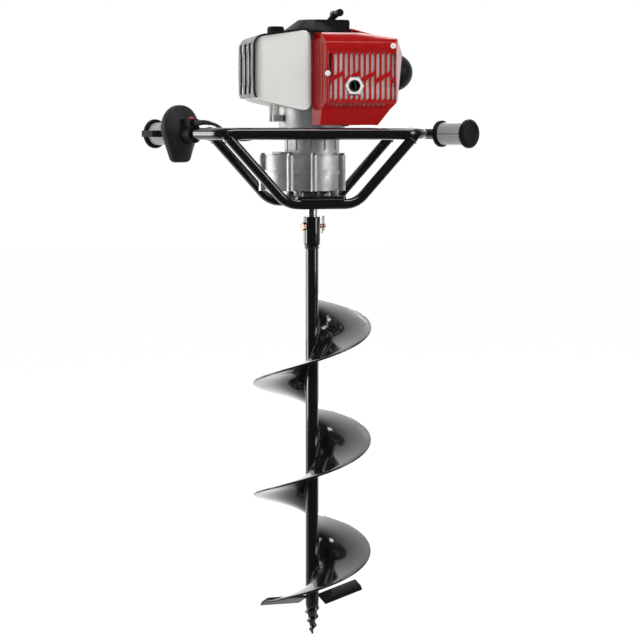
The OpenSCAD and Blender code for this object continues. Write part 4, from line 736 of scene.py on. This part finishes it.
def guard_ribs():
    rows, across = 24, 12
    solid = Solid()
    for y in (-72, -24, 24, 72):
        rings = []
        for i in range(rows + 1):
            t = 2 * i / rows - 1
            slot = RIB_SLOT + RIB_SLOT_BOW * (t * RIB_REACH / RIB_SLOT_H) ** 2
            low, high = -RIB_HALF_PITCH + slot, RIB_HALF_PITCH - slot
            if abs(y) > 2 * RIB_HALF_PITCH:
                low, high = (low, END_RIB_HALF) if y > 0 else (-END_RIB_HALF, high)
            crown = RIB_CROWN * (1 - t ** 4)
            z = RIB_Z + RIB_REACH * t
            skin = []
            for k in range(across + 1):
                v = 2 * k / across - 1
                skin.append(Vector((RIB_FACE_X - crown * (1 - v * v),
                                    y + low + (high - low) * (0.04 + 0.92 * k / across), z)))
            back = [Vector((RIB_BACK_X, edge.y, edge.z)) for edge in (skin[-1], skin[0])]
            rings.append(skin + back)
        solid.add(rings)
    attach(solid.make("guard_ribs", M["rib"], "black_plastic", 50), "power_head")


# Heat shield: sheet folded under and beside the muffler, behind the grille
SHIELD_T = 1.0
SHIELD_Y, SHIELD_SET_Y = -97.0, -93.1


def heat_shield():
    # Rows of each panel: y, z, and its two ends in x
    skirt = [(SHIELD_Y, 1024.0, 14, 133), (SHIELD_Y, 1017.0, 14, 133), (-90.5, 1005.0, 14, 124),
             (-85.0, 997.0, 14, 118), (-72.0, 992.0, 14, 114)]
    left = [(SHIELD_Y, 1100.0, 18.5, 36), (SHIELD_Y, 1056.0, 18.5, 39.5), (SHIELD_Y, 1039.0, 14, 41.0),
            (SHIELD_Y, 1023.5, 14, 49.8)]
    right = [(SHIELD_SET_Y, 1050.0, 82, 122), (SHIELD_SET_Y, 1042.0, 78, 126), (SHIELD_Y, 1039.0, 75, 133),
             (SHIELD_Y, 1023.5, 66.2, 133)]
    solid = Solid()
    for rows in (skirt, left, right):
        solid.add([[Vector((x, y + dy, z)) for x, dy in ((x0, 0), (x1, 0), (x1, SHIELD_T), (x0, SHIELD_T))]
                   for y, z, x0, x1 in rows])
    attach(solid.make("heat_shield", M["muffler"], "bright_sheet", 25), "power_head")


# Engine cover: raised border of the grille's panel, and screws with a hexagon socket
COVER_FACE_Y, SCREW_SEAT_Y = -104.0, -106.1
BORDER_INNER = ((10.0, 134.0), (1013.4, 1105.0), 3.0)
BORDER_OUTER = ((4.4, 135.7), (1011.4, 1120.4), 2.0)
SCREWS = ((7.5, 1063.15), (129.0, 1113.15))


def cover_border():
    # Points of the section: share from the inner to the outer line, and height over the face
    section = ((0.0, -0.4), (0.0, 0.05), (0.05, 0.4), (0.2, 2.0), (0.27, 2.2), (0.86, 2.2), (0.95, 1.8), (1.0, 0.9),
               (1.0, -0.4))
    steps = 6
    rings = []
    for corner, (right, top) in enumerate(((1, 1), (0, 1), (0, 0), (1, 0))):
        for k in range(steps + 1):
            a = math.pi / 2 * (corner + k / steps)
            (xi, zi), (xo, zo) = ((x[right] + r * (math.cos(a) - (1 if right else -1)),
                                   z[top] + r * (math.sin(a) - (1 if top else -1)))
                                  for x, z, r in (BORDER_INNER, BORDER_OUTER))
            rings.append([Vector((xi + t * (xo - xi), COVER_FACE_Y - out, zi + t * (zo - zi)))
                          for t, out in section])
    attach(Solid().add(rings, loop=True).make("cover_border", M["red"], "red_plastic", 50), "power_head")


def cover_screws():
    # Rings of one screw: radius, height over the seat, and 1 where it is a hexagon
    profile = ((2.5, -12, 0), (2.5, -0.02, 0), (5, 0, 0), (5, 0.9, 0), (4.7, 1.7, 0), (4.1, 2.3, 0), (3.3, 2.5, 0),
               (2.5, 2.5, 1), (2.4, 2.2, 1), (2.4, 0.8, 1))
    sixth = math.pi / 6
    solid = Solid()
    for x, z in SCREWS:
        rings = []
        for r, out, hexagon in profile:
            ring = []
            for a in circle(36):
                flat = math.cos(sixth) / math.cos((a + sixth) % (2 * sixth) - sixth)
                reach = r * (flat if hexagon else 1)
                ring.append(Vector((x + reach * math.cos(a), SCREW_SEAT_Y - out, z + reach * math.sin(a))))
            rings.append(ring)
        solid.add(rings)
    heads = solid.make("socket_screws", M["muffler"], "steel", 35)
    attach(heads, "power_head")
    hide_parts("cover_screws")


# Stage: white floor and surround, which glossy faces see darker towards the camera, and soft lamps
FLOOR_SIZE, FLOOR_DROP = 12, 0.0012
# Name, place, target, size in metres, and power in watts
LAMPS = (
    ("top", (0.3, -0.5, 2.7), (0, 0, 0.9), (2.4, 0.4), 21),
    ("right", (2.4, -2.0, 1.6), (0, 0, 0.75), (1.3, 2.4), 38),
    ("left", (-2.6, 0.3, 1.0), (0, 0, 0.8), (1.0, 2.0), 34),
    ("rim_left", (-1.9, 2.0, 1.4), (0, 0, 0.7), (0.5, 2.4), 20),
    ("fill", (-0.4, -3.0, 1.7), (0, 0, 0.8), (2.0, 2.0), 24),
    ("rim_right", (0.9, 2.7, 1.5), (0, 0, 0.7), (0.4, 2.4), 14),
)


def floor():
    bm = bmesh.new()
    bmesh.ops.create_grid(bm, x_segments=1, y_segments=1, size=FLOOR_SIZE)
    mesh = bpy.data.meshes.new("floor")
    bm.to_mesh(mesh)
    bm.free()
    obj = bpy.data.objects.new("floor", mesh)
    obj.location = (0, 0, -FLOOR_DROP)
    scene.collection.objects.link(obj)
    n = Net("floor_white")
    n.set(Base_Color=n.mix(n.noise(2, 2), rgb(0.86, 0.86, 0.86), rgb(0.9, 0.9, 0.9)), Roughness=0.85)
    straight, glossy = n.rays()
    mirrored = n.glow("ShaderNodeEmission", n.spread(n.y_of(n.coords), -0.3, 0.6, 0.03, 1.05))
    lit = n.mix_shader(glossy, n.bsdf.outputs[0], mirrored)
    seen = n.glow("ShaderNodeEmission", 1.08)
    n.link(n.mix_shader(n.times(straight, 0.87), lit, seen), n.out.inputs["Surface"])
    mesh.materials.append(n.mat)


def surround():
    world = bpy.data.worlds.new("surround")
    scene.world = world
    world.use_nodes = True
    w = Tree(world.node_tree)
    straight, glossy = w.rays()
    depth = w.y_of(w.add("ShaderNodeTexCoord").outputs["Generated"])
    light = w.glow("ShaderNodeBackground", 0.45)
    mirrored = w.glow("ShaderNodeBackground", w.spread(depth, -0.2, 0.75, 0.04, 1.0, interpolation_type="SMOOTHSTEP"))
    seen = w.glow("ShaderNodeBackground", 1.0)
    w.link(w.mix_shader(straight, w.mix_shader(glossy, light, mirrored), seen),
           w.add("ShaderNodeOutputWorld").inputs["Surface"])


def lamps():
    for name, place, target, size, power in LAMPS:
        data = bpy.data.lights.new(name, "AREA")
        data.shape = "RECTANGLE"
        data.size, data.size_y = size
        data.energy = power
        lamp = bpy.data.objects.new(name, data)
        lamp.visible_glossy = name != "fill"
        scene.collection.objects.link(lamp)
        lamp.location = place
        look_at(lamp, target)


flight()
frame_welds()
throttle_cable()
starter_rope_run()
guard_skin()
guard_ribs()
heat_shield()
cover_border()
cover_screws()
floor()
surround()
lamps()
